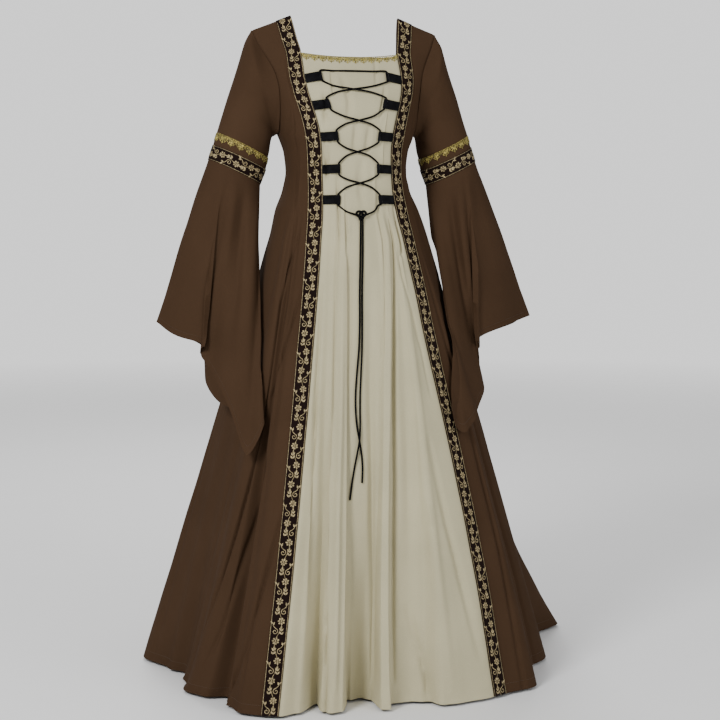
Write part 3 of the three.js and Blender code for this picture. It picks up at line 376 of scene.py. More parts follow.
def spaced(stops, step):
    """Numbers from the first stop to the last that keep every stop and are at most a step apart"""
    marks = [float(stops[0])]
    for start, end in zip(stops, stops[1:]):
        count = max(1, math.ceil(abs(end - start) / step - 1e-6))
        marks += [start + (end - start) * k / count for k in range(1, count + 1)]
    return np.array(marks)


# Body surface

def ring_point(turn, z, back):
    half, square = RINGS.read("half", z), RINGS.read("square", z)
    reach = np.where(back, RINGS.read("back", z), RINGS.read("front", z))
    full = np.where(back, RINGS.read("back", RIDGE), RINGS.read("front", RIDGE))
    rounded = RIDGE_EDGE + (full - RIDGE_EDGE) * np.sqrt(np.clip(z / RIDGE, 0, 1))
    reach = np.where(z > RIDGE, rounded, reach)
    across = np.abs(np.sin(turn)) ** (2 / square) * np.sign(np.sin(turn))
    along = np.abs(np.cos(turn)) ** (2 / square)
    y = RINGS.read("mid", z) + np.where(back, 1, -1) * reach * along
    return np.stack([half * across, y, z + 0 * y], -1)


def turn_at(x, z):
    ratio = np.clip(x / RINGS.read("half", z), 0, 1)
    return np.arcsin(ratio ** (RINGS.read("square", z) / 2))


def seam_turn(z, sign):
    """Turn of the front seam. Down the skirt the wearer's left one swings further out."""
    share = np.clip((z - SEAM_SWAY["from"]) / (SEAM_SWAY["to"] - SEAM_SWAY["from"]), 0, 1)
    sway = np.where(sign > 0, SEAM_SWAY["turn"] * np.sin(np.pi * share), 0)
    above = turn_at(FRONT_SEAM.read("x", z), z)
    return np.where(z < SKIRT_TOP, np.radians(SEAM_TURN + sway), above)


def edge_turn(z):
    return np.where(z < ARMPIT, math.pi / 2, turn_at(ARMHOLE.read("x", z), z))


def ribbon_turn(z, sign):
    start, step = seam_turn(z, sign), 0.02
    moved = ring_point(start + step, z, False) - ring_point(start, z, False)
    return start + RIBBON_WIDTH * step / np.linalg.norm(moved, axis=-1)


def height_share(z):
    return np.clip((z - HEM) / (SKIRT_TOP - HEM), 0, 1)


def fold_at(column):
    """The fold row below each column, and how far the column lies towards the next one"""
    at = FOLDS["at"]
    low = np.clip(np.searchsorted(at, column) - 1, 0, len(at) - 2)
    return low, (column - at[low]) / (at[low + 1] - at[low])


def drift(column, z):
    low, share = fold_at(column)
    at, waist, bend = FOLDS["at"], FOLDS["waist"], FOLDS["bend"]
    ends = [at[i] + (waist[i] - at[i]) * height_share(z) ** bend[i] for i in (low, low + 1)]
    return lerp(ends[0], ends[1], share)


@functools.lru_cache(maxsize=None)
def hem_depths():
    """How far each fold row stands out from the plain ring at the hem"""
    at = FOLDS["at"]
    plain = ring_point(np.radians(np.abs(at)), np.full(len(at), float(HEM)), np.abs(at) > 90)
    return FOLDS["reach"] - np.hypot(plain[:, 0], plain[:, 1])


def fold_depth(column, z):
    low, share = fold_at(column)
    high = height_share(z)
    above = 1 - smooth((z - SKIRT_TOP) / FOLD_FADE)
    rise, top, reach = FOLDS["rise"], FOLDS["top"], hem_depths()
    ends = [reach[i] * (1 - high) ** rise[i] + top[i] * high * above for i in (low, low + 1)]
    return lerp(ends[0], ends[1], (1 - np.cos(np.pi * share)) / 2)


def body_turn(column, z, back):
    """Turn round the body of a column in the front or the back"""
    sign = np.where(column < 0, -1, 1)
    size, placed = np.abs(column), np.abs(drift(column, z))
    seam, ribbon, edge = seam_turn(z, sign), ribbon_turn(z, sign), edge_turn(z)
    start = math.pi - edge
    behind = start + (placed - 90) / 90 * (math.pi - start)
    neck = math.pi - turn_at(BACK_NECK.read("x", z), z)
    strap = lerp(start, neck, (size - 90) / (BACK_NECK_TURN - 90))
    behind = np.where((z <= NECKLINE) | (size > BACK_NECK_TURN), behind, strap)
    share = (size - SEAM_TURN) / (RIBBON_TURN - SEAM_TURN)
    on_ribbon = lerp(seam, ribbon, share)
    on_side = lerp(ribbon, edge, (placed - RIBBON_TURN) / (90 - RIBBON_TURN))
    before = np.where(size <= RIBBON_TURN, on_ribbon, on_side)
    middle = drift(column, z) / SEAM_TURN * seam
    return np.where(back, sign * behind, np.where(size <= SEAM_TURN, middle, sign * before))


def body_point(column, z, back):
    column, z, back = np.broadcast_arrays(np.asarray(column, float), np.asarray(z, float), back)
    turn = body_turn(column, z, back)
    point = ring_point(turn, z, back)
    depth = fold_depth(column, z)
    point[..., 0] += np.sin(turn) * depth
    point[..., 1] -= np.cos(turn) * depth
    share = 1 - smooth(point[..., 2] / SHOULDER_BLEND)
    out = np.abs(point[..., 0]) - SHOULDER_NECK
    out = np.maximum(0, out / (SHOULDER_TIP - SHOULDER_NECK))
    point[..., 2] -= share * out * SHOULDER_FALL
    return point


def pressed(u, v, strokes):
    """Depth at u and v of soft strokes with fading ends: paths, each with its width and depth"""
    total = np.zeros(np.broadcast(u, v).shape)
    for *path, width, depth in strokes:
        path = np.array(path, float).reshape(-1, 2)
        spans = np.linalg.norm(np.diff(path, axis=0), axis=1)
        nearest, place, run = np.full(total.shape, np.inf), np.zeros(total.shape), 0
        for (u0, v0), (u1, v1), span in zip(path, path[1:], spans):
            t = ((u - u0) * (u1 - u0) + (v - v0) * (v1 - v0)) / span**2
            inside = np.clip(t, 0, 1)
            away = (u - lerp(u0, u1, inside)) ** 2 + (v - lerp(v0, v1, inside)) ** 2
            place = np.where(away < nearest, run + inside * span, place)
            nearest = np.minimum(nearest, away)
            run += span
        start, part, power = CREASE_ENDS
        fade = np.sin(np.pi * (start + part * place / run)) ** power
        total += depth * fade * np.exp(-nearest / width**2)
    return total


def body_creases(column, z, strokes):
    """Depth of a panel's creases: their turns are widths on the ring of their own level"""
    def across(turn, level):
        return np.radians(turn) * RINGS.read("half", level)
    lines = []
    for *path, width, depth in strokes:
        turns, levels = np.array(path[::2], float), np.array(path[1::2], float)
        places = np.stack([across(turns, levels), levels], -1).ravel()
        lines.append((*places, width, depth))
    return pressed(across(column, z), z, lines)


def side_strokes(side, back):
    """The creases of a side front or back: those that both sides share and its own valleys"""
    shared, own = (BACK_CREASES, BACK_VALLEYS) if back else (SIDE_CREASES, SIDE_VALLEYS)
    sided = []
    for *path, width, depth in shared + own[side]:
        path[::2] = [SIDES[side] * turn for turn in path[::2]]
        sided.append((*path, width, depth))
    return sided


def unevenness(points, scale, amount, seed):
    """Slow waves of the cloth, from noise with a fixed seed, in millimetres"""
    flat = points.reshape(-1, 3) / scale
    shift = Vector((seed * 7.31, seed * 3.17, seed * 1.93))
    waves = [noise.noise(Vector(p) + shift) for p in flat.tolist()]
    return amount * np.array(waves).reshape(points.shape[:-1])


def grid_normals(points, around, centre):
    """Normals of a grid of points, away from the centre"""
    rows = np.gradient(points, axis=0)
    if around:
        wide = np.concatenate([points[:, -2:-1], points, points[:, 1:2]], 1)
        columns = np.gradient(wide, axis=1)[:, 1:-1]
    else:
        columns = np.gradient(points, axis=1)
    normals = np.cross(rows, columns)
    normals /= np.maximum(np.linalg.norm(normals, axis=-1, keepdims=True), 1e-9)
    facing = np.sum(normals * (points - centre))
    return normals if facing > 0 else -normals


def moved(points, normals, out):
    return points + normals * np.asarray(out)[..., None] if np.ndim(out) else points + normals * out


def body_levels():
    """Levels from the shoulder to the hem, close together at the ridge of the shoulder"""
    ridge = [RIDGE_FOOT * (k / RIDGE_ROWS) ** 2 for k in range(RIDGE_ROWS)]
    rest = spaced([RIDGE_FOOT, NECKLINE, ARMPIT, SKIRT_TOP, HEM], STEPS["rows"])
    return np.concatenate([ridge, rest])


def panel_surface(columns, levels, back, strokes):
    """Outer face of a body panel with its creases. Levels are one row for all or one per column."""
    z = levels if levels.ndim == 2 else np.repeat(levels[:, None], len(columns), 1)
    column = np.repeat(columns[None, :], len(z), 0)
    points = body_point(column, z, back)
    normals = grid_normals(points, False, np.array(BODY_MIDDLE))
    depth = body_creases(column, z, strokes) + unevenness(points, *WAVES["body"])
    points = moved(points, normals, -depth)
    return points, grid_normals(points, False, np.array(BODY_MIDDLE))


def rolled_in(points, normals):
    """Turns the two sides of a panel in towards its seams"""
    steps = np.linalg.norm(np.diff(points, axis=1), axis=-1)
    run = np.concatenate([np.zeros((len(points), 1)), np.cumsum(steps, 1)], 1)
    edge = np.minimum(run, run[:, -1:] - run)
    dip = SEAM_ROLL["depth"] * np.exp(-((edge / SEAM_ROLL["width"]) ** 2))
    return moved(points, normals, -dip)


def neckline_level(column):
    return NECKLINE - NECKLINE_DIP * (1 - (column / SEAM_TURN) ** 2)


@functools.lru_cache(maxsize=None)
def front_grid():
    """The cream panel: its top row follows the neckline"""
    (first, last), (before, after) = FRONT_MIDDLE, STEPS["beside"]
    columns = np.concatenate([spaced([-SEAM_TURN, first], before)[:-1],
                              spaced(FRONT_MIDDLE, STEPS["middle"]),
                              spaced([last, SEAM_TURN], after)[1:]])
    lower = spaced([LEVEL_ROWS, ARMPIT, SKIRT_TOP, HEM], STEPS["rows"])
    upper = np.linspace(0, 1, 9)[:-1, None]
    top = lerp(neckline_level(columns)[None, :], np.full((1, len(columns)), float(LEVEL_ROWS)), upper)
    levels = np.concatenate([top, np.repeat(lower[:, None], len(columns), 1)])
    return panel_surface(columns, levels, False, FRONT_CREASES)


def front_point(x, z):
    """The cream panel's surface at x and the level z"""
    points = front_grid()[0]

    def row(i):
        return [float(np.interp(x, points[i, :, 0], points[i, :, k])) for k in (1, 2)]
    low, high = 0, len(points) - 2
    while low < high:
        middle = (low + high) // 2
        if row(middle + 1)[1] > z:
            low = middle + 1
        else:
            high = middle
    (y0, z0), (y1, z1) = row(low), row(low + 1)
    share = (z - z0) / (z1 - z0)
    return np.array([x, lerp(y0, y1, share), lerp(z0, z1, share)])


def over_front(x, z, out):
    """A point over the cream panel, moved out from the cloth"""
    across = front_point(x + 1.5, z) - front_point(x - 1.5, z)
    down = front_point(x, z - 1.5) - front_point(x, z + 1.5)
    normal = np.cross(down, across)
    return front_point(x, z) + normal / np.linalg.norm(normal) * out


# Sleeve surfaces

def sleeve_ring(side, turn, step):
    angle = np.radians(turn)
    value = {name: SLEEVE_RINGS.read(name, step) for name in SLEEVE_RINGS.names[1:]}
    x = (value["outX"] + value["inX"]) / 2 + (value["outX"] - value["inX"]) / 2 * np.cos(angle)
    z = (value["outZ"] + value["inZ"]) / 2 + (value["outZ"] - value["inZ"]) / 2 * np.cos(angle)
    y = SLEEVE_MID_Y - value["deep"] * np.sin(angle)
    return np.stack(np.broadcast_arrays(SIDES[side] * x, y, z), -1)


def armhole_point(side, turn):
    """The armhole seam from the shoulder (turn 0) over the front to the armpit, and up the back"""
    place = np.where(turn <= 180, turn, 360 - turn) / 180 * (len(ARMHOLE_LEVELS) - 1)
    z = np.interp(place, np.arange(len(ARMHOLE_LEVELS)), ARMHOLE_LEVELS)
    point = body_point(SIDES[side] * np.full(turn.shape, 90.0), z, turn > 180)
    low = smooth((140 - np.abs(z - ARMPIT) * 3) / 140)
    point[..., 0] += SIDES[side] * lerp(ARMHOLE_GAP, ARMPIT_GAP * 0.7, low)
    point[..., 2] += ARMPIT_GAP * 0.7 * low
    return point


def upper_sleeve_surface(side, turns, steps):
    turn, step = np.meshgrid(turns, steps)
    start, first, second = (
        armhole_point(side, turn), sleeve_ring(side, turn, 1.0), sleeve_ring(side, turn, 2.0))
    t = np.clip(step, 0, 1)[..., None]
    curve = (
        (1 + 2 * t) * (1 - t) ** 2 * start + t * t * (3 - 2 * t) * first
        + t * (1 - t) ** 2 * (first - start) + t * t * (t - 1) * (second - start) / 2
    )
    points = np.where(t < 1, curve, sleeve_ring(side, turn, np.maximum(step, 1)))
    centre = points.mean(1, keepdims=True)
    normals = grid_normals(points, True, centre)
    scale = CREASE_SCALE
    lines = [(a * scale["turn"], sa * scale["step"], b * scale["turn"], sb * scale["step"], w, d)
             for a, sa, b, sb, w, d in UPPER_CREASES]
    depth = pressed(turn * scale["turn"], step * scale["step"], lines)
    depth = depth * smooth(step * 2) + unevenness(points, *WAVES["upper"]) * smooth(step * 2)
    points = moved(points, normals, -depth * smooth((4.1 - step) * 4 + 1))
    return points, grid_normals(points, True, centre)


def with_allowance(side, points, normals):
    """The sleeve's head with the seam allowance that closes the armhole from inside"""
    rows = []
    for inward, sunk in SEAM_ROWS:
        row = moved(points[:1], normals[:1], np.full(points[:1].shape[:2], -float(sunk)))
        row[..., 0] -= SIDES[side] * inward
        rows.append(row)
    points = np.concatenate([*rows, points])
    return points, grid_normals(points, True, points.mean(1, keepdims=True))


def skirt_reach(point):
    """Distance of the skirt from the middle in the direction of each point at its level"""
    wanted = np.arctan2(point[..., 0], -point[..., 1])
    back = np.abs(wanted) > math.pi / 2
    sign = np.sign(wanted)
    low, high = np.where(back, 90.0, 0.0), np.where(back, 180.0, 90.0)
    for _ in range(16):
        middle = (low + high) / 2
        there = body_point(sign * middle, point[..., 2], back)
        less = np.abs(np.arctan2(there[..., 0], -there[..., 1])) < np.abs(wanted)
        low, high = np.where(less, middle, low), np.where(less, high, middle)
    found = body_point(sign * (low + high) / 2, point[..., 2], back)
    return np.hypot(found[..., 0], found[..., 1])


def lower_sleeve_surface(side, turns, shares):
    turn, share = np.meshgrid(turns, shares)
    step = ELBOW_STEP + ELBOW_GAP + np.clip(share / BAND_SHARE, 0, 1)
    top = sleeve_ring(side, turn, np.minimum(step, 7))
    down = np.clip((share - BAND_SHARE) / (1 - BAND_SHARE), 0, 1)
    hems, wrapped = SLEEVE_HEMS[side], np.mod(turn, 360)
    hem = np.stack([SIDES[side] * hems.read("x", wrapped), hems.read("y", wrapped),
                    hems.read("z", wrapped)], -1)
    round_out = BULGE["out"] * np.sin(np.pi * np.minimum(1, down * BULGE["late"]))
    folds = sum(rise * np.exp(-(((turn - at) / wide) ** 2)) for at, rise, wide in SLEEVE_FOLDS)
    bulge = round_out + folds * down
    points = lerp(top, hem, down[..., None])
    points[..., 0] += SIDES[side] * np.cos(np.radians(turn)) * bulge
    points[..., 1] -= np.sin(np.radians(turn)) * bulge
    facing = np.maximum(0, np.cos(np.radians(turn - 90)))
    distance = np.hypot(points[..., 0], points[..., 1])
    least = skirt_reach(points) + SLEEVE_CLEAR + SLEEVE_DEPTH_CLEAR * facing * down
    pushed = (distance < least) & (points[..., 2] <= ARMPIT) & (down > 0)
    factor = np.where(pushed, least / distance, 1)
    points[..., 0] *= factor
    points[..., 1] *= factor
    centre = points.mean(1, keepdims=True)
    normals = grid_normals(points, True, centre)
    fall = CREASE_SCALE["share"]
    lines = [(a, sa * fall, b, sb * fall, w, d) for a, sa, b, sb, w, d in LOWER_CREASES]
    depth = pressed(turn, share * fall, lines) + unevenness(points, *WAVES["lower"])
    near = smooth((least - distance * factor + 6) / 12)
    points = moved(points, normals, -depth * smooth(down * 6) * (1 - near * (depth > 0)))
    return points, grid_normals(points, True, centre)


# Meshes

def along_rows(points):
    """Distances along each row and down each column, from the first point"""
    across = np.linalg.norm(np.diff(points, axis=1), axis=-1)
    down = np.linalg.norm(np.diff(points, axis=0), axis=-1)
    u = np.concatenate([np.zeros((len(points), 1)), np.cumsum(across, 1)], 1)
    v = np.concatenate([np.zeros((1, points.shape[1])), np.cumsum(down, 0)], 0)
    return u, v


def link(name, mesh, material=None):
    item = bpy.data.objects.new(name, mesh)
    bpy.context.scene.collection.objects.link(item)
    if material:
        mesh.materials.clear()
        mesh.materials.append(material)
    return item


def finished(item, nodes):
    """Puts a piece on the frame: it stands for its solids, which it hides"""
    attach(item, "root")
    if nodes:
        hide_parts(*nodes)
    return item


def new_mesh(name, vertices, faces, uv_name, uv, sharp=50):
    """A mesh from points in millimetres, with the texture coordinates of each face corner"""
    mesh = bpy.data.meshes.new(name)
    mesh.from_pydata((np.asarray(vertices) * MM).tolist(), [], [list(face) for face in faces])
    layer = mesh.uv_layers.new(name=uv_name)
    layer.data.foreach_set("uv", np.asarray(uv, float).ravel())
    mesh.shade_smooth()
    mesh.set_sharp_from_angle(angle=math.radians(sharp))
    mesh.validate()
    return mesh


def shell(name, outer, inner, closed=False, present=None):
    """A closed wall between two grids of points. A closed grid repeats its first column last."""
    rows, columns = outer.shape[:2]
    cells = np.ones((rows - 1, columns - 1), bool) if present is None else present
    padded = np.pad(cells, 1)
    if closed:
        padded[:, 0], padded[:, -1] = padded[:, -2], padded[:, 1]
    corners = []

    def add(mask, pattern):
        i, j = np.nonzero(mask & cells)
        corners.append(np.stack([
            np.stack([i + di, j + dj, np.full(len(i), layer)], -1) for di, dj, layer in pattern], 1))
    add(cells, ((0, 0, 0), (1, 0, 0), (1, 1, 0), (0, 1, 0)))
    add(cells, ((0, 0, 1), (0, 1, 1), (1, 1, 1), (1, 0, 1)))
    add(~padded[:-2, 1:-1], ((0, 0, 0), (0, 1, 0), (0, 1, 1), (0, 0, 1)))
    add(~padded[2:, 1:-1], ((1, 1, 0), (1, 0, 0), (1, 0, 1), (1, 1, 1)))
    add(~padded[1:-1, :-2], ((1, 0, 0), (0, 0, 0), (0, 0, 1), (1, 0, 1)))
    add(~padded[1:-1, 2:], ((0, 1, 0), (1, 1, 0), (1, 1, 1), (0, 1, 1)))
    corner = np.concatenate(corners)
    i, j, layer = corner[..., 0], corner[..., 1], corner[..., 2]
    width = columns - 1 if closed else columns
    ids = layer * rows * width + i * width + (j % width)
    points = np.concatenate([outer[:, :width].reshape(-1, 3), inner[:, :width].reshape(-1, 3)])
    a, b, c, d = (points[ids[:, k]] for k in range(4))
    volume = np.sum(a * np.cross(b, c)) + np.sum(a * np.cross(c, d))
    u, v = along_rows(outer)
    uv = np.stack([u[i, j], v[i, j]], -1) * MM
    if volume < 0:
        ids, uv = ids[:, ::-1], uv[:, ::-1]
    used, ids = np.unique(ids, return_inverse=True)
    return new_mesh(name, points[used], ids.reshape(-1, 4).tolist(), "cloth", uv)


def cloth_piece(name, points, normals, sizes, material, nodes, closed=False, present=None,
                lift=0, thick=None):
    """A piece of cloth whose outer face is the grid, moved out by lift"""
    thick = sizes.cloth / MM if thick is None else thick
    outer = moved(points, normals, lift + (thick if lift else 0))
    inner = moved(points, normals, lift if lift else -thick)
    mesh = shell(name, outer, inner, closed, present)
    return finished(link(name, mesh, material), nodes)


def widened(grid, axis):
    """The grid with a margin past both ends of an axis. Its last two values are places on the cloth."""
    grid = np.swapaxes(grid, 0, axis)
    ends = []
    for edge, near in ((0, 1), (-1, -2)):
        step = grid[edge] - grid[near]
        size = np.linalg.norm(step[:, 3:], axis=-1, keepdims=True)
        ends.append((grid[edge] + step * PATTERN_MARGIN / size)[None])
    return np.swapaxes(np.concatenate([ends[0], grid, ends[1]]), 0, axis)


def carrier(name, points, normals, across, along):
    """An open surface that a pattern is laid on. Its texture coordinates are metres on the cloth."""
    places = [np.broadcast_to(place, points.shape[:2])[..., None] for place in (across, along)]
    grid = widened(widened(np.concatenate([points, *places], -1), 0), 1)
    rows, columns = grid.shape[:2]
    i, j = (index.ravel() for index in np.mgrid[: rows - 1, : columns - 1])
    ids = np.stack([i * columns + j, (i + 1) * columns + j, (i + 1) * columns + j + 1,
                    i * columns + j + 1], -1)
    flat = grid[..., :3].reshape(-1, 3)
    a, b, d = flat[ids[0, 0]], flat[ids[0, 1]], flat[ids[0, 3]]
    if np.dot(np.cross(b - a, d - a), normals[0, 0]) < 0:
        ids = ids[:, ::-1]
    uv = grid[..., 3:].reshape(-1, 2)[ids] * MM
    return link(name, new_mesh(name, flat, ids.tolist(), "pattern", uv))


class Sketch:
    """Small flat shapes with a raised middle, gathered into one mesh"""

    def __init__(self):
        self.points, self.faces, self.threads = [], [], []

    def strand(self, path, half, rise, sides=2, ends=True):
        """A raised thread along a path of x and y"""
        path = np.asarray(path, float)
        ahead = np.gradient(path, axis=0)
        ahead /= np.maximum(np.linalg.norm(ahead, axis=1, keepdims=True), 1e-9)
        beside = np.stack([-ahead[:, 1], ahead[:, 0]], 1)
        run = np.concatenate([[0], np.cumsum(np.linalg.norm(np.diff(path, axis=0), axis=1))])
        start, last = len(self.points), len(path) - 1
        for k, (place, side) in enumerate(zip(path, beside)):
            slim = 0.35 if ends and k in (0, last) else 1
            for s in range(sides + 1):
                angle = math.pi * s / sides
                at = place + side * half * slim * math.cos(angle)
                self.points.append((at[0], at[1], rise * slim * math.sin(angle)))
                self.threads.append((s / sides, run[k] * MM))
        for k in range(last):
            for s in range(sides):
                a = start + k * (sides + 1) + s
                self.faces.append((a, a + 1, a + sides + 2, a + sides + 1))

    def blob(self, outline, rise, middle=None):
        """A petal, leaf or dome: an outline on the cloth with a raised middle"""
        outline = np.asarray(outline, float)
        middle = outline.mean(0) if middle is None else middle
        start = len(self.points)
        self.points += [(x, y, 0.0) for x, y in outline] + [(middle[0], middle[1], rise)]
        self.threads += [(0.0, math.hypot(x, y) * MM) for x, y in outline] + [(0.5, 0.0)]
        for k in range(len(outline)):
            self.faces.append((start + k, start + (k + 1) % len(outline), start + len(outline)))

    def mesh(self, name):
        corners = np.array([self.threads[i] for face in self.faces for i in face])
        mesh = bpy.data.meshes.new(name)
        mesh.from_pydata((np.array(self.points) * MM).tolist(), [], self.faces)
        mesh.uv_layers.new(name="thread").data.foreach_set("uv", corners.ravel())
        mesh.shade_smooth()
        return mesh


def turned(points, angle, at):
    cos, sin = math.cos(angle), math.sin(angle)
    return [(at[0] + x * cos - y * sin, at[1] + x * sin + y * cos) for x, y in points]


def spiral(at, start, radius, turns, count):
    """A curl that winds in towards its middle"""
    path = []
    for k in range(count):
        share = k / (count - 1)
        angle = start + share * turns * 2 * math.pi
        size = radius * (1 - 0.82 * share)
        path.append((at[0] + size * math.cos(angle), at[1] + size * math.sin(angle)))
    return path


# Outlines of a petal, from the flower's middle, and of a leaf, from its stalk
PETAL = (
    (0, 2.3), (1.2, 3.5), (1.7, 5.1), (1.2, 6.6), (0, 7.2), (-1.2, 6.6), (-1.7, 5.1), (-1.2, 3.5),
)
LEAF = ((0, 0), (1.4, 1.8), (1.7, 3.6), (0.8, 5.8), (0, 7.4), (-0.8, 5.8), (-1.7, 3.6), (-1.4, 1.8))
PETALS = 7
PETAL_TOP = (0, 4.6)
# Length of half a repeat of the ribbon as it was drawn, and its vine: sway and first turn
DRAWN = 37
VINE = (5, 0.3)
# Half a repeat of the ribbon: leaves (x, y, turn), a curl (x, y, first turn, radius, turns), its tail
FLOWER = (3.6, 9)
LEAVES = (
    (6, 34, 3.75), (5.4, 33.5, 2.6), (5.4, 28, 3.7), (4.8, 27.5, 2.65), (5, 24, 3.14),
    (-11.4, 17, 3.5), (-12, 14.5, 2.3),
)
CURL = (-6.8, 28.4, -0.9, 5.7, 1.15)
CURL_TAIL = ((-12.2, 15.5), (-9.8, 19.4), (-6.2, 22.4))


def circle(radius, count):
    turns = [2 * math.pi * k / count for k in range(count)]
    return [(radius * math.cos(turn), radius * math.sin(turn)) for turn in turns]


def ribbon_unit(repeat, edge):
    """One repeat of the woven pattern: two flowers on a vine with curls, leaves and edge lines"""
    sketch = Sketch()
    half = repeat / 2
    squeeze = half / DRAWN
    sway, first = VINE
    vine = [(sway * math.sin(math.pi * y / DRAWN + first), y * squeeze)
            for y in np.linspace(0, 2 * DRAWN, 33)]
    sketch.strand(vine, 0.45, 0.4, ends=False)
    for k, side in enumerate((1, -1)):
        def place(x, y):
            return (side * x, k * half + y * squeeze)
        at = place(*FLOWER)
        for petal in range(PETALS):
            angle = 2 * math.pi * petal / PETALS + 0.2
            sketch.blob(turned(PETAL, angle, at), 0.6, turned([PETAL_TOP], angle, at)[0])
        sketch.blob(turned(circle(1.5, 8), 0, at), 0.9)
        for x, y, turn in LEAVES:
            sketch.blob(turned(LEAF, side * turn, place(x, y)), 0.5)
        curl = [*CURL_TAIL, *spiral(CURL[:2], *CURL[2:], 20)]
        sketch.strand([place(x, y) for x, y in curl], 0.65, 0.5)
    for side in (-1, 1):
        line = [(side * edge, y) for y in np.linspace(0, repeat, 9)]
        sketch.strand(line, 0.45, 0.35, ends=False)
    return sketch.mesh("ribbon_unit")


# Leaves of a scallop's fan: turn and share of its reach
FAN = ((-1.25, 0.62), (-0.68, 0.86), (0, 1), (0.68, 0.86), (1.25, 0.62))


def braid_unit(pitch, depth):
    """One scallop of the gold braid: a header cord, a wave of thread and a fan of leaves"""
    sketch = Sketch()
    top, middle = -depth / 2, pitch / 2
    sketch.strand([(top + 0.7, y) for y in np.linspace(0, pitch, 9)], 0.5, 1.1, 3, False)
    for shift in (0, math.pi):
        wave = [(top + 3 + 1.3 * math.sin(4 * math.pi * y / pitch + shift), y)
                for y in np.linspace(0, pitch, 17)]
        sketch.strand(wave, 0.5, 0.8, 2, False)
    root = (top + 3.4, middle)
    reach = depth - 4
    for angle, share in FAN:
        grown = (reach * share - 0.8) / LEAF[4][1]
        leaf = [(x * 0.95, 0.8 + y * grown) for x, y in LEAF]
        sketch.blob(turned(leaf, angle - math.pi / 2, root), 1.2,
                    turned([(0, reach * share * 0.5)], angle - math.pi / 2, root)[0])
    arc = []
    for angle in np.linspace(-math.pi / 2, math.pi / 2, 13):
        size = 0.5 + 0.22 * math.cos(angle)
        arc.append((root[0] + reach * size * math.cos(angle),
                    middle + (middle - 0.4) * math.sin(angle)))
    sketch.strand(arc, 0.5, 0.9, 2)
    sketch.blob(turned(circle(1.2, 8), 0, root), 1.5)
    for y in (0.0, pitch):
        small = [(x * 0.7, v * 0.62) for x, v in LEAF]
        sketch.blob(turned(small, -math.pi / 2, (top + 4.4, y)), 0.9)
    return sketch.mesh("braid_unit")


def stitch_unit(places, length):
    """One stitch at each place across the cloth"""
    sketch = Sketch()
    for x in places:
        sketch.strand([(x, y) for y in (0, length / 2, length)], 0.4, 0.4)
    return sketch.mesh("stitch_unit")


# Geometry nodes that lay a repeated unit on a surface

def pattern_tree():
    """The node tree that repeats a flat unit along a surface and bends it to the cloth"""
    name = "Unit laid on cloth"
    if name in bpy.data.node_groups:
        return bpy.data.node_groups[name]
    tree = bpy.data.node_groups.new(name, "GeometryNodeTree")
    tree.is_modifier = True
    for label, way, kind in (
        ("Geometry", "INPUT", "Geometry"), ("Unit", "INPUT", "Object"), ("Count", "INPUT", "Int"),
        ("Step", "INPUT", "Float"), ("Lift", "INPUT", "Float"), ("Finish", "INPUT", "Material"),
        ("Geometry", "OUTPUT", "Geometry"),
    ):
        tree.interface.new_socket(label, in_out=way, socket_type="NodeSocket" + kind)
    add, join = tree.nodes.new, tree.links.new
    start, end = add("NodeGroupInput"), add("NodeGroupOutput")
    unit = add("GeometryNodeObjectInfo")
    join(start.outputs["Unit"], unit.inputs["Object"])
    pitch = add("ShaderNodeCombineXYZ")
    join(start.outputs["Step"], pitch.inputs["Y"])
    line = add("GeometryNodeMeshLine")
    join(start.outputs["Count"], line.inputs["Count"])
    join(pitch.outputs["Vector"], line.inputs["Offset"])
    copies = add("GeometryNodeInstanceOnPoints")
    join(line.outputs["Mesh"], copies.inputs["Points"])
    join(unit.outputs["Geometry"], copies.inputs["Instance"])
    flat = add("GeometryNodeRealizeInstances")
    join(copies.outputs["Instances"], flat.inputs["Geometry"])
    place = add("GeometryNodeInputPosition")
    parts = add("ShaderNodeSeparateXYZ")
    join(place.outputs["Position"], parts.inputs["Vector"])
    target = add("ShaderNodeCombineXYZ")
    join(parts.outputs["X"], target.inputs["X"])
    join(parts.outputs["Y"], target.inputs["Y"])
    coordinates = add("GeometryNodeInputNamedAttribute")
    coordinates.data_type = "FLOAT_VECTOR"
    coordinates.inputs["Name"].default_value = "pattern"

    def sampled(field):
        node = add("GeometryNodeSampleUVSurface")
        node.data_type = "FLOAT_VECTOR"
        join(start.outputs["Geometry"], node.inputs["Mesh"])
        join(field, node.inputs["Value"])
        join(coordinates.outputs["Attribute"], node.inputs["Source UV Map"])
        join(target.outputs["Vector"], node.inputs["Sample UV"])
        return node.outputs["Value"], node.outputs["Is Valid"]
    on_cloth, found = sampled(place.outputs["Position"])
    facing, _ = sampled(add("GeometryNodeInputNormal").outputs["Normal"])
    height = add("ShaderNodeMath")
    join(parts.outputs["Z"], height.inputs[0])
    join(start.outputs["Lift"], height.inputs[1])
    raised = add("ShaderNodeVectorMath")
    raised.operation = "SCALE"
    join(facing, raised.inputs["Vector"])
    join(height.outputs["Value"], raised.inputs["Scale"])
    total = add("ShaderNodeVectorMath")
    join(on_cloth, total.inputs[0])
    join(raised.outputs["Vector"], total.inputs[1])
    missed = add("FunctionNodeBooleanMath")
    missed.operation = "NOT"
    join(found, missed.inputs[0])
    kept = add("GeometryNodeDeleteGeometry")
    join(flat.outputs["Geometry"], kept.inputs["Geometry"])
    join(missed.outputs["Boolean"], kept.inputs["Selection"])
    bent = add("GeometryNodeSetPosition")
    join(kept.outputs["Geometry"], bent.inputs["Geometry"])
    join(total.outputs["Vector"], bent.inputs["Position"])
    real = add("GeometryNodeRealizeInstances")
    join(bent.outputs["Geometry"], real.inputs["Geometry"])
    finish = add("GeometryNodeSetMaterial")
    join(real.outputs["Geometry"], finish.inputs["Geometry"])
    join(start.outputs["Finish"], finish.inputs["Material"])
    join(finish.outputs["Geometry"], end.inputs["Geometry"])
    return tree


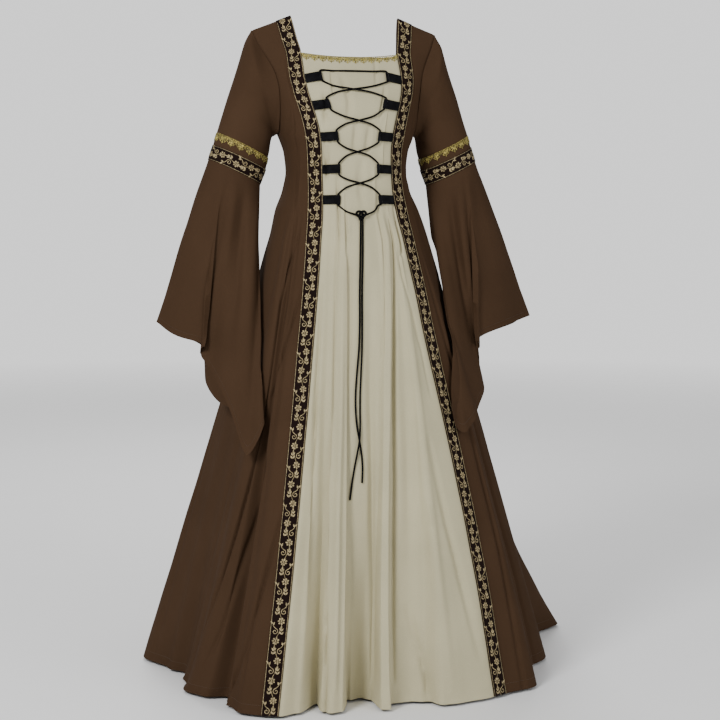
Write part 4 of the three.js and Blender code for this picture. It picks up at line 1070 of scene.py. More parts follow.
def laid(name, surface, unit_mesh, count, step, lift, material):
    """The unit repeated on the surface as one plain mesh. The surface and the unit are used up."""
    unit = link(name + "_unit", unit_mesh)
    modifier = surface.modifiers.new("laid", "NODES")
    modifier.node_group = pattern_tree()
    values = {"Unit": unit, "Count": count, "Step": step * MM, "Lift": lift * MM, "Finish": material}
    for socket in modifier.node_group.interface.items_tree:
        if socket.in_out == "INPUT" and socket.name in values:
            modifier[socket.identifier] = values[socket.name]
    bpy.context.view_layer.update()
    depsgraph = bpy.context.evaluated_depsgraph_get()
    mesh = bpy.data.meshes.new_from_object(surface.evaluated_get(depsgraph), depsgraph=depsgraph)
    surface.modifiers.clear()
    for used in (surface, unit):
        old = used.data
        bpy.data.objects.remove(used)
        bpy.data.meshes.remove(old)
    mesh.name = name
    if not mesh.polygons:
        raise RuntimeError(f"{name}: nothing was laid on the cloth")
    return link(name, mesh)


# Cords

def smooth_path(points, parts):
    """A centripetal curve through the points"""
    p = np.asarray(points, float)
    p = np.concatenate([[2 * p[0] - p[1]], p, [2 * p[-1] - p[-2]]])
    path = []
    for k in range(1, len(p) - 2):
        knots = [0.0]
        for a in range(3):
            knots.append(knots[-1] + math.sqrt(np.linalg.norm(p[k + a] - p[k + a - 1])))
        t0, t1, t2, t3 = knots
        for step in range(parts):
            t = lerp(t1, t2, step / parts)
            a1 = (t1 - t) / (t1 - t0) * p[k - 1] + (t - t0) / (t1 - t0) * p[k]
            a2 = (t2 - t) / (t2 - t1) * p[k] + (t - t1) / (t2 - t1) * p[k + 1]
            a3 = (t3 - t) / (t3 - t2) * p[k + 1] + (t - t2) / (t3 - t2) * p[k + 2]
            b1 = (t2 - t) / (t2 - t0) * a1 + (t - t0) / (t2 - t0) * a2
            b2 = (t3 - t) / (t3 - t1) * a2 + (t - t1) / (t3 - t1) * a3
            path.append((t2 - t) / (t2 - t1) * b1 + (t - t1) / (t2 - t1) * b2)
    return np.array(path + [p[-2]])


def tube(name, path, radius, sides=12, ring=False):
    """A round cord along a path, with rounded ends, or joined into a ring"""
    path = np.asarray(path, float)
    radii = np.full(len(path), radius)
    if not ring:
        ahead = [path[1] - path[0], path[-1] - path[-2]]
        ahead = [a / np.linalg.norm(a) for a in ahead]
        caps = ((-0.45, 0.86), (-0.78, 0.5), (-0.92, 0.12))
        first = [path[0] + ahead[0] * radius * a for a, _ in caps[::-1]]
        last = [path[-1] - ahead[1] * radius * a for a, _ in caps]
        path = np.concatenate([first, path, last])
        sizes = [radius * s for _, s in caps]
        radii = np.concatenate([sizes[::-1], radii, sizes])
    if ring:
        wide = np.concatenate([path[-1:], path, path[:1]])
        tangents = np.gradient(wide, axis=0)[1:-1]
    else:
        tangents = np.gradient(path, axis=0)
    tangents /= np.linalg.norm(tangents, axis=1, keepdims=True)
    side = np.cross(tangents[0], (0.3, -1, 0.2))
    side /= np.linalg.norm(side)
    run = np.concatenate([[0], np.cumsum(np.linalg.norm(np.diff(path, axis=0), axis=1))])
    vertices = []
    for place, ahead, size in zip(path, tangents, radii):
        side = side - ahead * np.dot(side, ahead)
        side /= np.linalg.norm(side)
        other = np.cross(ahead, side)
        for k in range(sides):
            angle = 2 * math.pi * k / sides
            vertices.append(place + (side * math.cos(angle) + other * math.sin(angle)) * size)
    faces, uv = [], []
    count = len(path)
    for i in range(count if ring else count - 1):
        after = (i + 1) % count
        length = run[i + 1] if i + 1 < count else run[i] + np.linalg.norm(path[0] - path[-1])
        for k in range(sides):
            near = (k + 1) % sides
            faces.append((i * sides + k, i * sides + near, after * sides + near, after * sides + k))
            for a, b in ((k, run[i]), (k + 1, run[i]), (k + 1, length), (k, length)):
                uv.append((a / sides, b * MM))
    if not ring:
        for start, way in ((0, -1), ((count - 1) * sides, 1)):
            faces.append(tuple(start + k for k in range(sides))[::way])
            uv += [(0, 0)] * sides
    return new_mesh(name, vertices, faces, "thread", uv, 80)


def loop_start(z):
    return float(FRONT_SEAM.read("x", z)) - LOOP_INSET


def eye_point(sign, index, share, width):
    """A place along the eye of a loop, from its lower end (0) to its upper end (1)"""
    z, rise = LOOPS[index]
    ends = []
    for end in (-0.5, 0.5):
        level = z + end * width + rise * EYE_AT / LOOP_LENGTH
        ends.append(over_front(sign * (loop_start(level) - EYE_AT), level, EYE_OUT))
    return lerp(ends[0], ends[1], share)


def strand_route(start_sign, radius, width):
    """One half of the lacing, from the top run down to the knot"""
    route, sign = [], start_sign
    rest = radius + 0.5
    high = rest + 2 * radius + 0.5
    for index in range(len(LOOPS)):
        top, foot = (eye_point(sign, index, s, width) for s in (1 + EYE_PAST, -EYE_PAST))
        mouth = eye_point(sign, index, 1 + MOUTH_PAST, width)
        mouth[0] -= sign * (MOUTH_IN["first"] if index == 0 else MOUTH_IN["other"])
        route += [mouth, top, foot]
        if index == len(CROSSINGS):
            break
        x, z = CROSSINGS[index]
        over = high if (index % 2 == 0) == (start_sign < 0) else rest
        entry = eye_point(-sign, index + 1, 1 + MOUTH_PAST, width)
        lift = lerp(rest, over, TO_CROSSING["lift"])

        def between(end):
            return over_front(lerp(end[0], x, TO_CROSSING["x"]), lerp(end[2], z, TO_CROSSING["z"]), lift)
        leave = (foot[0] - sign * LEAVING["x"], foot[2] - LEAVING["z"])
        route += [over_front(*leave, EYE_OUT - LEAVING["out"]), between(foot),
                  over_front(x, z, over), between(entry)]
        sign = -sign
    foot = eye_point(sign, len(LOOPS) - 1, -EYE_PAST, width)
    stop = KNOT["x"] + sign * (KNOT["wide"] + TO_KNOT["stop"])
    near = (lerp(foot[0], stop, TO_KNOT["near"]), foot[2] - TO_KNOT["drop"])
    far = (lerp(foot[0], stop, TO_KNOT["far"]), lerp(foot[2], KNOT["z"], TO_KNOT["down"]))
    route.append(over_front(*near, EYE_OUT - LEAVING["out"]))
    route.append(over_front(*far, rest))
    route.append(over_front(stop, KNOT["z"] + TO_KNOT["rise"], KNOT["out"]))
    return route


# Shader node groups

def new_group(name, inputs, outputs):
    tree = bpy.data.node_groups.new(name, "ShaderNodeTree")
    for label, kind, value in inputs:
        socket = tree.interface.new_socket(label, in_out="INPUT", socket_type=kind)
        if value is not None:
            socket.default_value = value
    for label, kind in outputs:
        tree.interface.new_socket(label, in_out="OUTPUT", socket_type=kind)
    return tree, tree.nodes.new("NodeGroupInput"), tree.nodes.new("NodeGroupOutput")


def feed(tree, value, socket):
    """Links an output to a socket, or sets the socket to a number or colour"""
    if isinstance(value, bpy.types.NodeSocket):
        tree.links.new(value, socket)
    else:
        socket.default_value = value


def maths(tree, operation, *values):
    node = tree.nodes.new("ShaderNodeMath")
    node.operation = operation
    for value, socket in zip(values, node.inputs):
        feed(tree, value, socket)
    return node.outputs["Value"]


def blended(tree, share, first, second):
    node = tree.nodes.new("ShaderNodeMix")
    node.data_type = "RGBA"
    feed(tree, share, node.inputs[0])
    feed(tree, first, node.inputs[6])
    feed(tree, second, node.inputs[7])
    return node.outputs[2]


def noise_value(tree, vector, scale, detail):
    node = tree.nodes.new("ShaderNodeTexNoise")
    feed(tree, vector, node.inputs["Vector"])
    feed(tree, scale, node.inputs["Scale"])
    feed(tree, detail, node.inputs["Detail"])
    return node.outputs["Fac"]


def ranged(tree, value, low, high, to_low=0.0, to_high=1.0):
    node = tree.nodes.new("ShaderNodeMapRange")
    for label, part in (("Value", value), ("From Min", low), ("From Max", high),
                        ("To Min", to_low), ("To Max", to_high)):
        feed(tree, part, node.inputs[label])
    return node.outputs["Result"]


@functools.lru_cache(maxsize=None)
def twill_group():
    """Fine diagonal ribs of a twill and the threads across them"""
    tree, start, end = new_group(
        "Twill weave",
        [("Vector", "NodeSocketVector", None), ("Threads", "NodeSocketFloat", 1400.0)],
        [("Height", "NodeSocketFloat")])
    parts = tree.nodes.new("ShaderNodeSeparateXYZ")
    tree.links.new(start.outputs["Vector"], parts.inputs["Vector"])
    u = maths(tree, "MULTIPLY", parts.outputs["X"], start.outputs["Threads"])
    v = maths(tree, "MULTIPLY", parts.outputs["Y"], start.outputs["Threads"])
    slope = maths(tree, "ADD", u, maths(tree, "MULTIPLY", v, 1.3))
    rib = maths(tree, "SINE", maths(tree, "MULTIPLY", slope, math.pi))
    thread = maths(tree, "SINE", maths(tree, "MULTIPLY", u, 2 * math.pi))
    pick = maths(tree, "SINE", maths(tree, "MULTIPLY", v, 2 * math.pi))
    both = maths(tree, "MULTIPLY", thread, pick)
    height = maths(tree, "MULTIPLY_ADD", both, 0.2, maths(tree, "MULTIPLY_ADD", rib, 0.3, 0.5))
    tree.links.new(height, end.inputs["Height"])
    return tree


@functools.lru_cache(maxsize=None)
def tone_group():
    """Cloth colour that changes slowly over a piece and finely from thread to thread, and painted shade
    where the weave lies low
    """
    tree, start, end = new_group(
        "Cloth tone",
        [("Vector", "NodeSocketVector", None), ("Colour", "NodeSocketColor", None),
         ("Shade", "NodeSocketColor", None), ("Light", "NodeSocketColor", None),
         ("Weave", "NodeSocketFloat", 0.5)],
        [("Colour", "NodeSocketColor"), ("Roughness", "NodeSocketFloat")])
    slow = noise_value(tree, start.outputs["Vector"], 7.0, 3.0)
    fine = noise_value(tree, start.outputs["Vector"], 900.0, 2.0)
    base = blended(tree, ranged(tree, slow, 0.35, 0.7), start.outputs["Shade"],
                   start.outputs["Colour"])
    speck = maths(tree, "MULTIPLY", ranged(tree, fine, 0.45, 0.75), 0.35)
    base = blended(tree, speck, base, start.outputs["Light"])
    # Painted shade: the colour turns to the Shade colour where the weave lies low
    rib = ranged(tree, start.outputs["Weave"], 0.15, 0.6, 0.4, 0.0)
    colour = blended(tree, rib, base, start.outputs["Shade"])
    tree.links.new(colour, end.inputs["Colour"])
    tree.links.new(ranged(tree, slow, 0.3, 0.7, 0.84, 0.74), end.inputs["Roughness"])
    return tree


@functools.lru_cache(maxsize=None)
def twist_group():
    """Strands wound round a thread or cord: u runs round it and v along it"""
    tree, start, end = new_group(
        "Thread twist",
        [("Vector", "NodeSocketVector", None), ("Pitch", "NodeSocketFloat", 0.003),
         ("Strands", "NodeSocketFloat", 3.0)],
        [("Height", "NodeSocketFloat")])
    parts = tree.nodes.new("ShaderNodeSeparateXYZ")
    tree.links.new(start.outputs["Vector"], parts.inputs["Vector"])
    along = maths(tree, "DIVIDE", parts.outputs["Y"], start.outputs["Pitch"])
    around = maths(tree, "MULTIPLY", parts.outputs["X"], start.outputs["Strands"])
    one, two = (
        maths(tree, "SINE", maths(tree, "MULTIPLY", maths(tree, way, around, along), 2 * math.pi))
        for way in ("ADD", "SUBTRACT"))
    height = maths(tree, "MULTIPLY_ADD", maths(tree, "MAXIMUM", one, two), 0.5, 0.5)
    tree.links.new(height, end.inputs["Height"])
    return tree


def tinted(colour, factor):
    return tuple(min(1.0, c * factor) for c in colour[:3]) + (1.0,)


def new_material(name, roughness, metallic=0.0, specular=0.5):
    material = bpy.data.materials.new(name)
    material.use_nodes = True
    shader = material.node_tree.nodes["Principled BSDF"]
    shader.inputs["Roughness"].default_value = roughness
    shader.inputs["Metallic"].default_value = metallic
    shader.inputs["Specular IOR Level"].default_value = specular
    return material, material.node_tree, shader


def map_node(tree, name):
    node = tree.nodes.new("ShaderNodeUVMap")
    node.uv_map = name
    return node.outputs["UV"]


def object_place(tree):
    return tree.nodes.new("ShaderNodeTexCoord").outputs["Object"]


def group_node(tree, group, **values):
    node = tree.nodes.new("ShaderNodeGroup")
    node.node_tree = group
    for label, value in values.items():
        feed(tree, value, node.inputs[label])
    return node.outputs


def bumped(tree, shader, height, strength, distance):
    bump = tree.nodes.new("ShaderNodeBump")
    bump.inputs["Strength"].default_value = strength
    bump.inputs["Distance"].default_value = distance
    tree.links.new(height, bump.inputs["Height"])
    tree.links.new(bump.outputs["Normal"], shader.inputs["Normal"])


def cloth_material(name, colour):
    material, tree, shader = new_material(name, 0.85, specular=0.03)
    weave = group_node(tree, twill_group(), Vector=map_node(tree, "cloth"), Threads=THREADS)["Height"]
    # The tone darkens where the twill's ribs lie low: painted shade in the weave
    tone = group_node(tree, tone_group(), Vector=object_place(tree), Colour=tinted(colour, 1),
                      Shade=tinted(colour, 0.86), Light=tinted(colour, 1.3), Weave=weave)
    tree.links.new(tone["Colour"], shader.inputs["Base Color"])
    tree.links.new(tone["Roughness"], shader.inputs["Roughness"])
    bumped(tree, shader, weave, 0.35, 0.0002)
    return material


def thread_material(name, colour, roughness, metallic, pitch, strands, specular=0.5,
                    spots_and_glints=(60.0, 0.8, 1.12)):
    """A finish for threads and cords that have the thread map. Its last three numbers are the scale of
    its spots, how dark the dark ones turn and how bright the bright ones: random tone on the plain
    threads, painted highlights and painted shade on the gold thread and the braid."""
    material, tree, shader = new_material(name, roughness, metallic, specular)
    height = group_node(tree, twist_group(), Vector=map_node(tree, "thread"), Pitch=pitch,
                        Strands=strands)["Height"]
    # Darker and brighter spots: random tone on plain thread, painted highlights and painted shade on the
    # gold
    slow = noise_value(tree, object_place(tree), spots_and_glints[0], 2.0)
    tone_and_glints = blended(tree, ranged(tree, slow, 0.35, 0.65), tinted(colour, spots_and_glints[1]),
                  tinted(colour, spots_and_glints[2]))
    # Painted shade: darker where the twist lies low, between the strands
    colour_out = blended(tree, ranged(tree, height, 0.1, 0.7, 0.55, 0.0), tone_and_glints, tinted(colour, 0.4))
    tree.links.new(colour_out, shader.inputs["Base Color"])
    bumped(tree, shader, height, 0.6, 0.0004)
    return material


# Ribs in a metre of ribbon and threads in a metre of twill
RIBS = 1100
THREADS = 1300.0


def ribbon_material(colour):
    """The ribbon's dark ground with fine ribs across it and painted shade between the ribs"""
    material, tree, shader = new_material("ribbon ground", 0.8, specular=0.05)
    parts = tree.nodes.new("ShaderNodeSeparateXYZ")
    tree.links.new(map_node(tree, "cloth"), parts.inputs["Vector"])
    rib = maths(tree, "SINE", maths(tree, "MULTIPLY", parts.outputs["Y"], 2 * math.pi * RIBS))
    height = maths(tree, "MULTIPLY_ADD", rib, 0.5, 0.5)
    # The tone darkens the ground where the ribs lie low: painted shade between them
    tone = group_node(tree, tone_group(), Vector=object_place(tree), Colour=tinted(colour, 1),
                      Shade=tinted(colour, 0.7), Light=tinted(colour, 2.2), Weave=height)
    tree.links.new(tone["Colour"], shader.inputs["Base Color"])
    bumped(tree, shader, height, 0.5, 0.0002)
    return material


def velvet_material(colour):
    material, tree, shader = new_material("velvet", 0.95, specular=0.1)
    shader.inputs["Sheen Weight"].default_value = 0.35
    shader.inputs["Sheen Roughness"].default_value = 0.25
    pile = noise_value(tree, object_place(tree), 1500.0, 2.0)
    slow = noise_value(tree, object_place(tree), 90.0, 2.0)
    shade = blended(tree, ranged(tree, slow, 0.35, 0.7), tinted(colour, 0.6), tinted(colour, 1.5))
    tree.links.new(shade, shader.inputs["Base Color"])
    bumped(tree, shader, pile, 0.6, 0.0006)
    return material


@functools.lru_cache(maxsize=None)
def materials():
    """Every finish of the dress, made once from the colours of the panel"""
    paint = bpy.context.scene.dress_colours
    return {
        "brown": cloth_material("brown twill", paint.brown),
        "cream": cloth_material("cream twill", paint.cream),
        "ground": ribbon_material(paint.ribbon),
        # The bright and dark spots of the gold thread and the braid are painted highlights and painted
        # shade
        "gold": thread_material("woven gold thread", paint.gold, 0.5, 0.25, 0.0011, 1.0,
                                spots_and_glints=(260.0, 0.62, 1.5)),
        "braid": thread_material("gold braid", paint.braid, 0.42, 0.3, 0.0016, 2.0,
                                 spots_and_glints=(330.0, 0.25, 2.1)),
        "velvet": velvet_material(paint.velvet),
        "lace": thread_material("black lace", paint.lace, 0.75, 0.0, 0.0045, 4.0, 0.06),
        "stitch": thread_material("brown stitching", paint.brown, 0.6, 0.0, 0.0012, 2.0),
        "pale stitch": thread_material("cream stitching", paint.cream, 0.6, 0.0, 0.0012, 2.0),
    }


# Properties

def length_property(name, description, default):
    return FloatProperty(name=name, description=description, default=default, min=0.0,
                         subtype="DISTANCE", unit="LENGTH", precision=4)


def colour_property(name, description, default):
    return FloatVectorProperty(name=name, description=description, default=default, size=3,
                               min=0.0, max=1.0, subtype="COLOR")


class DressSizes(bpy.types.PropertyGroup):
    """Sizes of the cloth and the trims"""
    cloth: length_property("Cloth", "Thickness of the cloth shells", 0.0012)
    ribbon: length_property("Ribbon", "Thickness of the woven ribbon", 0.0009)
    lift: length_property("Lift", "Space between the cloth and a ribbon on it", 0.0004)
    repeat: length_property("Repeat", "Length of one repeat of the ribbon's pattern", 0.0785)
    edge: length_property("Edge line", "Distance of the edge line from the ribbon's middle", 0.0156)
    lace: length_property("Lace", "Diameter of the lace", 0.0038)
    loop: length_property("Loop", "Width of a velvet loop", 0.0185)
    tape: length_property("Tape", "Thickness of the loops' velvet tape", 0.001)
    pitch: length_property("Stitch pitch", "Distance from stitch to stitch", 0.004)
    stitch: length_property("Stitch", "Length of a stitch", 0.0029)
    hem: length_property("Hem", "Height of the hem's stitches above its edge", 0.018)


class DressColours(bpy.types.PropertyGroup):
    """Colours of the cloth and the trims"""
    brown: colour_property("Brown", "Cloth of the sides, back and sleeves", (0.056, 0.0315, 0.0175))
    cream: colour_property("Cream", "Cloth of the front panel", (0.52, 0.475, 0.31))
    ribbon: colour_property("Ribbon", "Ground of the woven ribbon", (0.011, 0.0055, 0.0045))
    gold: colour_property("Gold", "Pattern of the woven ribbon", (0.38, 0.30, 0.155))
    braid: colour_property("Braid", "Scalloped gold braid", (0.30, 0.245, 0.06))
    velvet: colour_property("Velvet", "Loops", (0.004, 0.004, 0.005))
    lace: colour_property("Lace", "Lace and its knot", (0.0035, 0.0035, 0.004))
    floor: colour_property("Floor", "Floor and background", (0.84, 0.84, 0.84))


# Operators

class DressOperator:
    """What every operator of the dress shares: the sizes of the panel"""
    bl_options = {"REGISTER", "UNDO"}

    def sizes(self, context):
        return context.scene.dress_sizes


class MakeStage(DressOperator, bpy.types.Operator):
    """Makes the camera, the pale floor and the soft light"""
    bl_idname = "dress.make_stage"
    bl_label = "Camera and stage"

    def execute(self, context):
        scene = context.scene
        turn, pitch = math.radians(CAMERA["turn"]), math.radians(CAMERA["pitch"])
        back = Vector((math.sin(turn), -math.cos(turn), 0))
        right = Vector((math.cos(turn), math.sin(turn), 0))
        camera = bpy.data.objects.new("camera", bpy.data.cameras.new("camera"))
        scene.collection.objects.link(camera)
        camera.data.lens = CAMERA["lens"]
        camera.data.clip_end = 60
        place = back * CAMERA["away"] + right * CAMERA["aside"] + Vector((0, 0, CAMERA["height"]))
        forward = -back * math.cos(pitch) - Vector((0, 0, math.sin(pitch)))
        camera.rotation_mode = "QUATERNION"
        camera.location = place * MM
        camera.rotation_quaternion = forward.to_track_quat("-Z", "Y")
        scene.camera = camera
        self.floor(scene)
        self.lights(scene, back, right)
        return {"FINISHED"}

    def floor(self, scene):
        """A round floor that fades out into the background"""
        level, rings, count = (HEM - FLOOR["under"]) * MM, FLOOR["rings"], FLOOR["corners"]
        vertices, faces = [(0, 0, level)], []
        for k in range(1, rings + 1):
            size = FLOOR["radius"] * (k / rings) ** FLOOR["power"]
            vertices += [(x, y, level) for x, y in circle(size, count)]
        for j in range(count):
            faces.append((0, 1 + j, 1 + (j + 1) % count))
        for k in range(rings - 1):
            for j in range(count):
                a, b = 1 + k * count + j, 1 + k * count + (j + 1) % count
                faces.append((a, a + count, b + count, b))
        mesh = bpy.data.meshes.new("floor")
        mesh.from_pydata(vertices, [], faces)
        material, tree, shader = new_material("floor", 0.95, specular=0.1)
        far = tree.nodes.new("ShaderNodeVectorMath")
        far.operation = "LENGTH"
        tree.links.new(object_place(tree), far.inputs[0])
        spots = noise_value(tree, object_place(tree), 3.0, 2.0)
        paint = scene.dress_colours.floor
        tone = blended(tree, spots, tinted(paint, 0.985), tinted(paint, 1.015))
        tree.links.new(tone, shader.inputs["Base Color"])
        faded = ranged(tree, far.outputs["Value"], *FLOOR["fade"], 1.0, 0.0)
        tree.links.new(faded, shader.inputs["Alpha"])
        link("floor", mesh, material)

    def lights(self, scene, back, right):
        """The world, the key from the front and above, a fill from the right and one behind"""
        world = bpy.data.worlds.new("studio")
        scene.world = world
        world.use_nodes = True
        background = world.node_tree.nodes["Background"]
        background.inputs["Color"].default_value = tinted(scene.dress_colours.floor, 1)
        ray = world.node_tree.nodes.new("ShaderNodeLightPath").outputs["Is Camera Ray"]
        seen = ranged(world.node_tree, ray, 0.0, 1.0, WORLD["light"], WORLD["seen"])
        world.node_tree.links.new(seen, background.inputs["Strength"])
        for name, (away, aside, high, size, power) in LAMPS.items():
            place = back * away + right * aside + Vector((0, 0, high))
            lamp = bpy.data.lights.new(name, "AREA")
            lamp.shape, lamp.size, lamp.energy = "DISK", size, power
            light = bpy.data.objects.new(name, lamp)
            scene.collection.objects.link(light)
            light.location = place
            light.rotation_mode = "QUATERNION"
            light.rotation_quaternion = (Vector(LAMP_AIM) - place).to_track_quat("-Z", "Y")


class MakeLace(DressOperator, bpy.types.Operator):
    """Makes the lace through its loops, its knot and its two free ends"""
    bl_idname = "dress.make_lace"
    bl_label = "Lace, knot and free ends"

    def execute(self, context):
        sizes, black = self.sizes(context), materials()["lace"]
        radius, width = sizes.lace / MM / 2, sizes.loop / MM
        for side, rows in LACE_ENDS.items():
            route = [over_front(x, z, KNOT["out"] - END_START if k == 0 else radius + 0.5 + lift)
                     for k, (x, z, lift) in enumerate(rows)]
            path = smooth_path(route, 6)
            end = link(f"lace_end_{side}_cord", tube(f"lace_end_{side}_cord", path, radius), black)
            finished(end, [f"lace_end_{side}"])
        level = LOOPS[0][0] + width / 2 + LOOPS[0][1] + TOP_RUN["rise"]
        run = [over_front(x, level, radius + 0.5) for x in TOP_RUN["at"]]
        halves = [strand_route(sign, radius, width) for sign in (-1, 1)]
        path = smooth_path(halves[0][::-1] + run + halves[1], 6)
        laced = link("laced_cord", tube("laced_cord", path, radius), black)
        finished(laced, ["lace"])
        finished(link("knot_cord", self.knot(radius), black), ["lace_knot"])
        return {"FINISHED"}

    def knot(self, radius):
        """An overhand knot pulled tight"""
        centre = over_front(KNOT["x"], KNOT["z"], KNOT["out"])
        size, count = KNOT["size"], 72
        path = []
        for k in range(count):
            t = 2 * math.pi * k / count
            path.append(centre + np.array([
                size * (math.sin(t) + 2 * math.sin(2 * t)),
                -KNOT["depth"] * math.sin(3 * t),
                size * KNOT["flat"] * (math.cos(t) - 2 * math.cos(2 * t)),
            ]))
        return tube("knot_cord", path, radius * KNOT["cord"], 12, True)


class MakeFrontPanel(DressOperator, bpy.types.Operator):
    """Makes the cream front, gathered softly at the waist, with the folds of its skirt"""
    bl_idname = "dress.make_front_panel"
    bl_label = "Cream front"

    def execute(self, context):
        points, normals = front_grid()
        panel = cloth_piece("front_cloth", rolled_in(points, normals), normals, self.sizes(context),
                            materials()["cream"], ["front_panel"])
        return {"FINISHED"}


def on_side(side, columns):
    """Columns of the wearer's left, turned over for the right"""
    return columns if side == "left" else -columns[::-1]


class MakeSideFronts(DressOperator, bpy.types.Operator):
    """Makes the brown side fronts from the shoulder to the hem"""
    bl_idname = "dress.make_side_fronts"
    bl_label = "Brown side fronts"

    def execute(self, context):
        for side in SIDES:
            columns = on_side(side, spaced([SEAM_TURN, RIBBON_TURN, 90], STEPS["side"]))
            points, normals = panel_surface(columns, body_levels(), False, side_strokes(side, False))
            panel = cloth_piece(
                f"side_front_{side}_cloth", rolled_in(points, normals), normals,
                self.sizes(context), materials()["brown"], [f"side_front_{side}"])
        return {"FINISHED"}


class MakeBacks(DressOperator, bpy.types.Operator):
    """Makes the two halves of the brown back with the square neck"""
    bl_idname = "dress.make_backs"
    bl_label = "Brown backs"

    def execute(self, context):
        for side in SIDES:
            columns = on_side(side, spaced([90, BACK_NECK_TURN, 180], STEPS["back"]))
            levels = body_levels()
            points, normals = panel_surface(columns, levels, True, side_strokes(side, True))
            inner = np.maximum(np.abs(columns[:-1]), np.abs(columns[1:]))
            below, beside = levels[:-1, None] <= NECKLINE + 1e-6, inner[None] <= BACK_NECK_TURN + 1e-6
            present = below | beside
            panel = cloth_piece(
                f"back_{side}_cloth", rolled_in(points, normals), normals, self.sizes(context),
                materials()["brown"], [f"back_{side}"], present=present)
        return {"FINISHED"}


def sleeve_turns():
    return spaced([0, 90, 180, 270, 360], STEPS["turn"])


class MakeUpperSleeves(DressOperator, bpy.types.Operator):
    """Makes the fitted upper sleeves from the armhole to the elbow"""
    bl_idname = "dress.make_upper_sleeves"
    bl_label = "Upper sleeves"

    def execute(self, context):
        steps = spaced([0, 1, ELBOW_STEP - ELBOW_GAP], STEPS["sleeve"])
        for side in SIDES:
            head = upper_sleeve_surface(side, sleeve_turns(), steps)
            points, normals = with_allowance(side, *head)
            sleeve = cloth_piece(
                f"upper_sleeve_{side}_cloth", points, normals, self.sizes(context),
                materials()["brown"], [f"upper_sleeve_{side}"], closed=True)
        return {"FINISHED"}


def hem_turns(side):
    return spaced(list(SLEEVE_HEMS[side]["turn"]), STEPS["hem"])


class MakeLowerSleeves(DressOperator, bpy.types.Operator):
    """Makes the trumpet sleeves with their long points"""
    bl_idname = "dress.make_lower_sleeves"
    bl_label = "Trumpet sleeves"

    def execute(self, context):
        shares = spaced([0, BAND_SHARE, 1], STEPS["share"])
        for side in SIDES:
            points, normals = lower_sleeve_surface(side, hem_turns(side), shares)
            sleeve = cloth_piece(
                f"lower_sleeve_{side}_cloth", points, normals, self.sizes(context),
                materials()["brown"], [f"lower_sleeve_{side}"], closed=True)
        return {"FINISHED"}


def sleeve_band(side, first, last, rows, columns):
    """A grid round the sleeve between two steps, with its normals and its distances"""
    turn, step = np.meshgrid(np.linspace(0, 360, columns), np.linspace(first, last, rows))
    points = sleeve_ring(side, turn, step)
    normals = grid_normals(points, True, points.mean(1, keepdims=True))
    run = along_rows(points)[0][rows // 2]
    return points, normals, run


class MakeRibbons(DressOperator, bpy.types.Operator):
    """Makes the woven ribbons down both front seams and round both sleeves"""
    bl_idname = "dress.make_ribbons"
    bl_label = "Woven flower ribbons"

    def execute(self, context):
        for side in SIDES:
            self.front(context, side)
            self.sleeve(context, side)
        return {"FINISHED"}

    def front(self, context, side):
        columns = on_side(side, np.linspace(SEAM_TURN, RIBBON_TURN, 9))
        points, normals = panel_surface(columns, body_levels(), False, side_strokes(side, False))
        down = along_rows(points)[1][:, 4]
        share = (np.abs(columns) - SEAM_TURN) / (RIBBON_TURN - SEAM_TURN)
        across = (share - 0.5)[None, :] * RIBBON_WIDTH
        repeats = round(down[-1] / (self.sizes(context).repeat / MM))
        self.ribbon(context, f"front_ribbon_{side}", points, normals, across, down[:, None],
                    repeats, down[-1], False)

    def sleeve(self, context, side):
        points, normals, run = sleeve_band(side, *BAND_STEPS, 7, 97)
        across = np.linspace(-0.5, 0.5, 7)[:, None] * RIBBON_WIDTH
        self.ribbon(context, f"sleeve_ribbon_{side}", points, normals, across, run[None, :],
                    SLEEVE_REPEATS, run[-1], True)

    def ribbon(self, context, node, points, normals, across, along, count, length, closed):
        """The ribbon's ground, and its pattern laid on it"""
        sizes, finish = self.sizes(context), materials()
        lift, thick = sizes.lift / MM, sizes.ribbon / MM
        ground = cloth_piece(f"{node}_ground", points, normals, sizes, finish["ground"],
                             [node], closed=closed, lift=lift, thick=thick)
        surface = carrier(f"{node}_surface", moved(points, normals, lift + thick), normals,
                          across, along)
        unit = ribbon_unit(length / count, sizes.edge / MM)
        pattern = laid(f"{node}_pattern", surface, unit, count, length / count, 0.02, finish["gold"])
        finished(pattern, [])


class MakeBraids(DressOperator, bpy.types.Operator):
    """Makes the gold scalloped braid round the sleeves and along the neckline"""
    bl_idname = "dress.make_braids"
    bl_label = "Gold braid"

    def execute(self, context):
        gold = materials()["braid"]
        for side in SIDES:
            points, normals, run = sleeve_band(side, *BRAID_STEPS, 5, 97)
            across = np.linspace(-0.5, 0.5, 5)[:, None] * BRAID_DEPTH
            self.braid(f"sleeve_braid_{side}", points, normals, across, run[None, :],
                       SLEEVE_SCALLOPS, run[-1], gold)
        half = float(FRONT_SEAM.read("x", NECKLINE)) - 0.4
        xs = np.linspace(-half, half, 61)
        depths = np.linspace(0, BRAID_DEPTH, 6)
        points = np.array([[front_point(x, neckline_level(x / half * SEAM_TURN) - 0.3 - d)
                            for x in xs] for d in depths])
        normals = grid_normals(points, False, np.array(NECK_MIDDLE))
        run = along_rows(points)[0][0]
        self.braid("neck_braid", points, normals, (depths - BRAID_DEPTH / 2)[:, None],
                   run[None, :], NECK_SCALLOPS, run[-1], gold)
        return {"FINISHED"}

    def braid(self, node, points, normals, across, along, count, length, gold):
        surface = carrier(f"{node}_surface", points, normals, across, along)
        unit = braid_unit(length / count, BRAID_DEPTH)
        item = laid(f"{node}_cords", surface, unit, count, length / count, 0.35, gold)
        finished(item, [node])


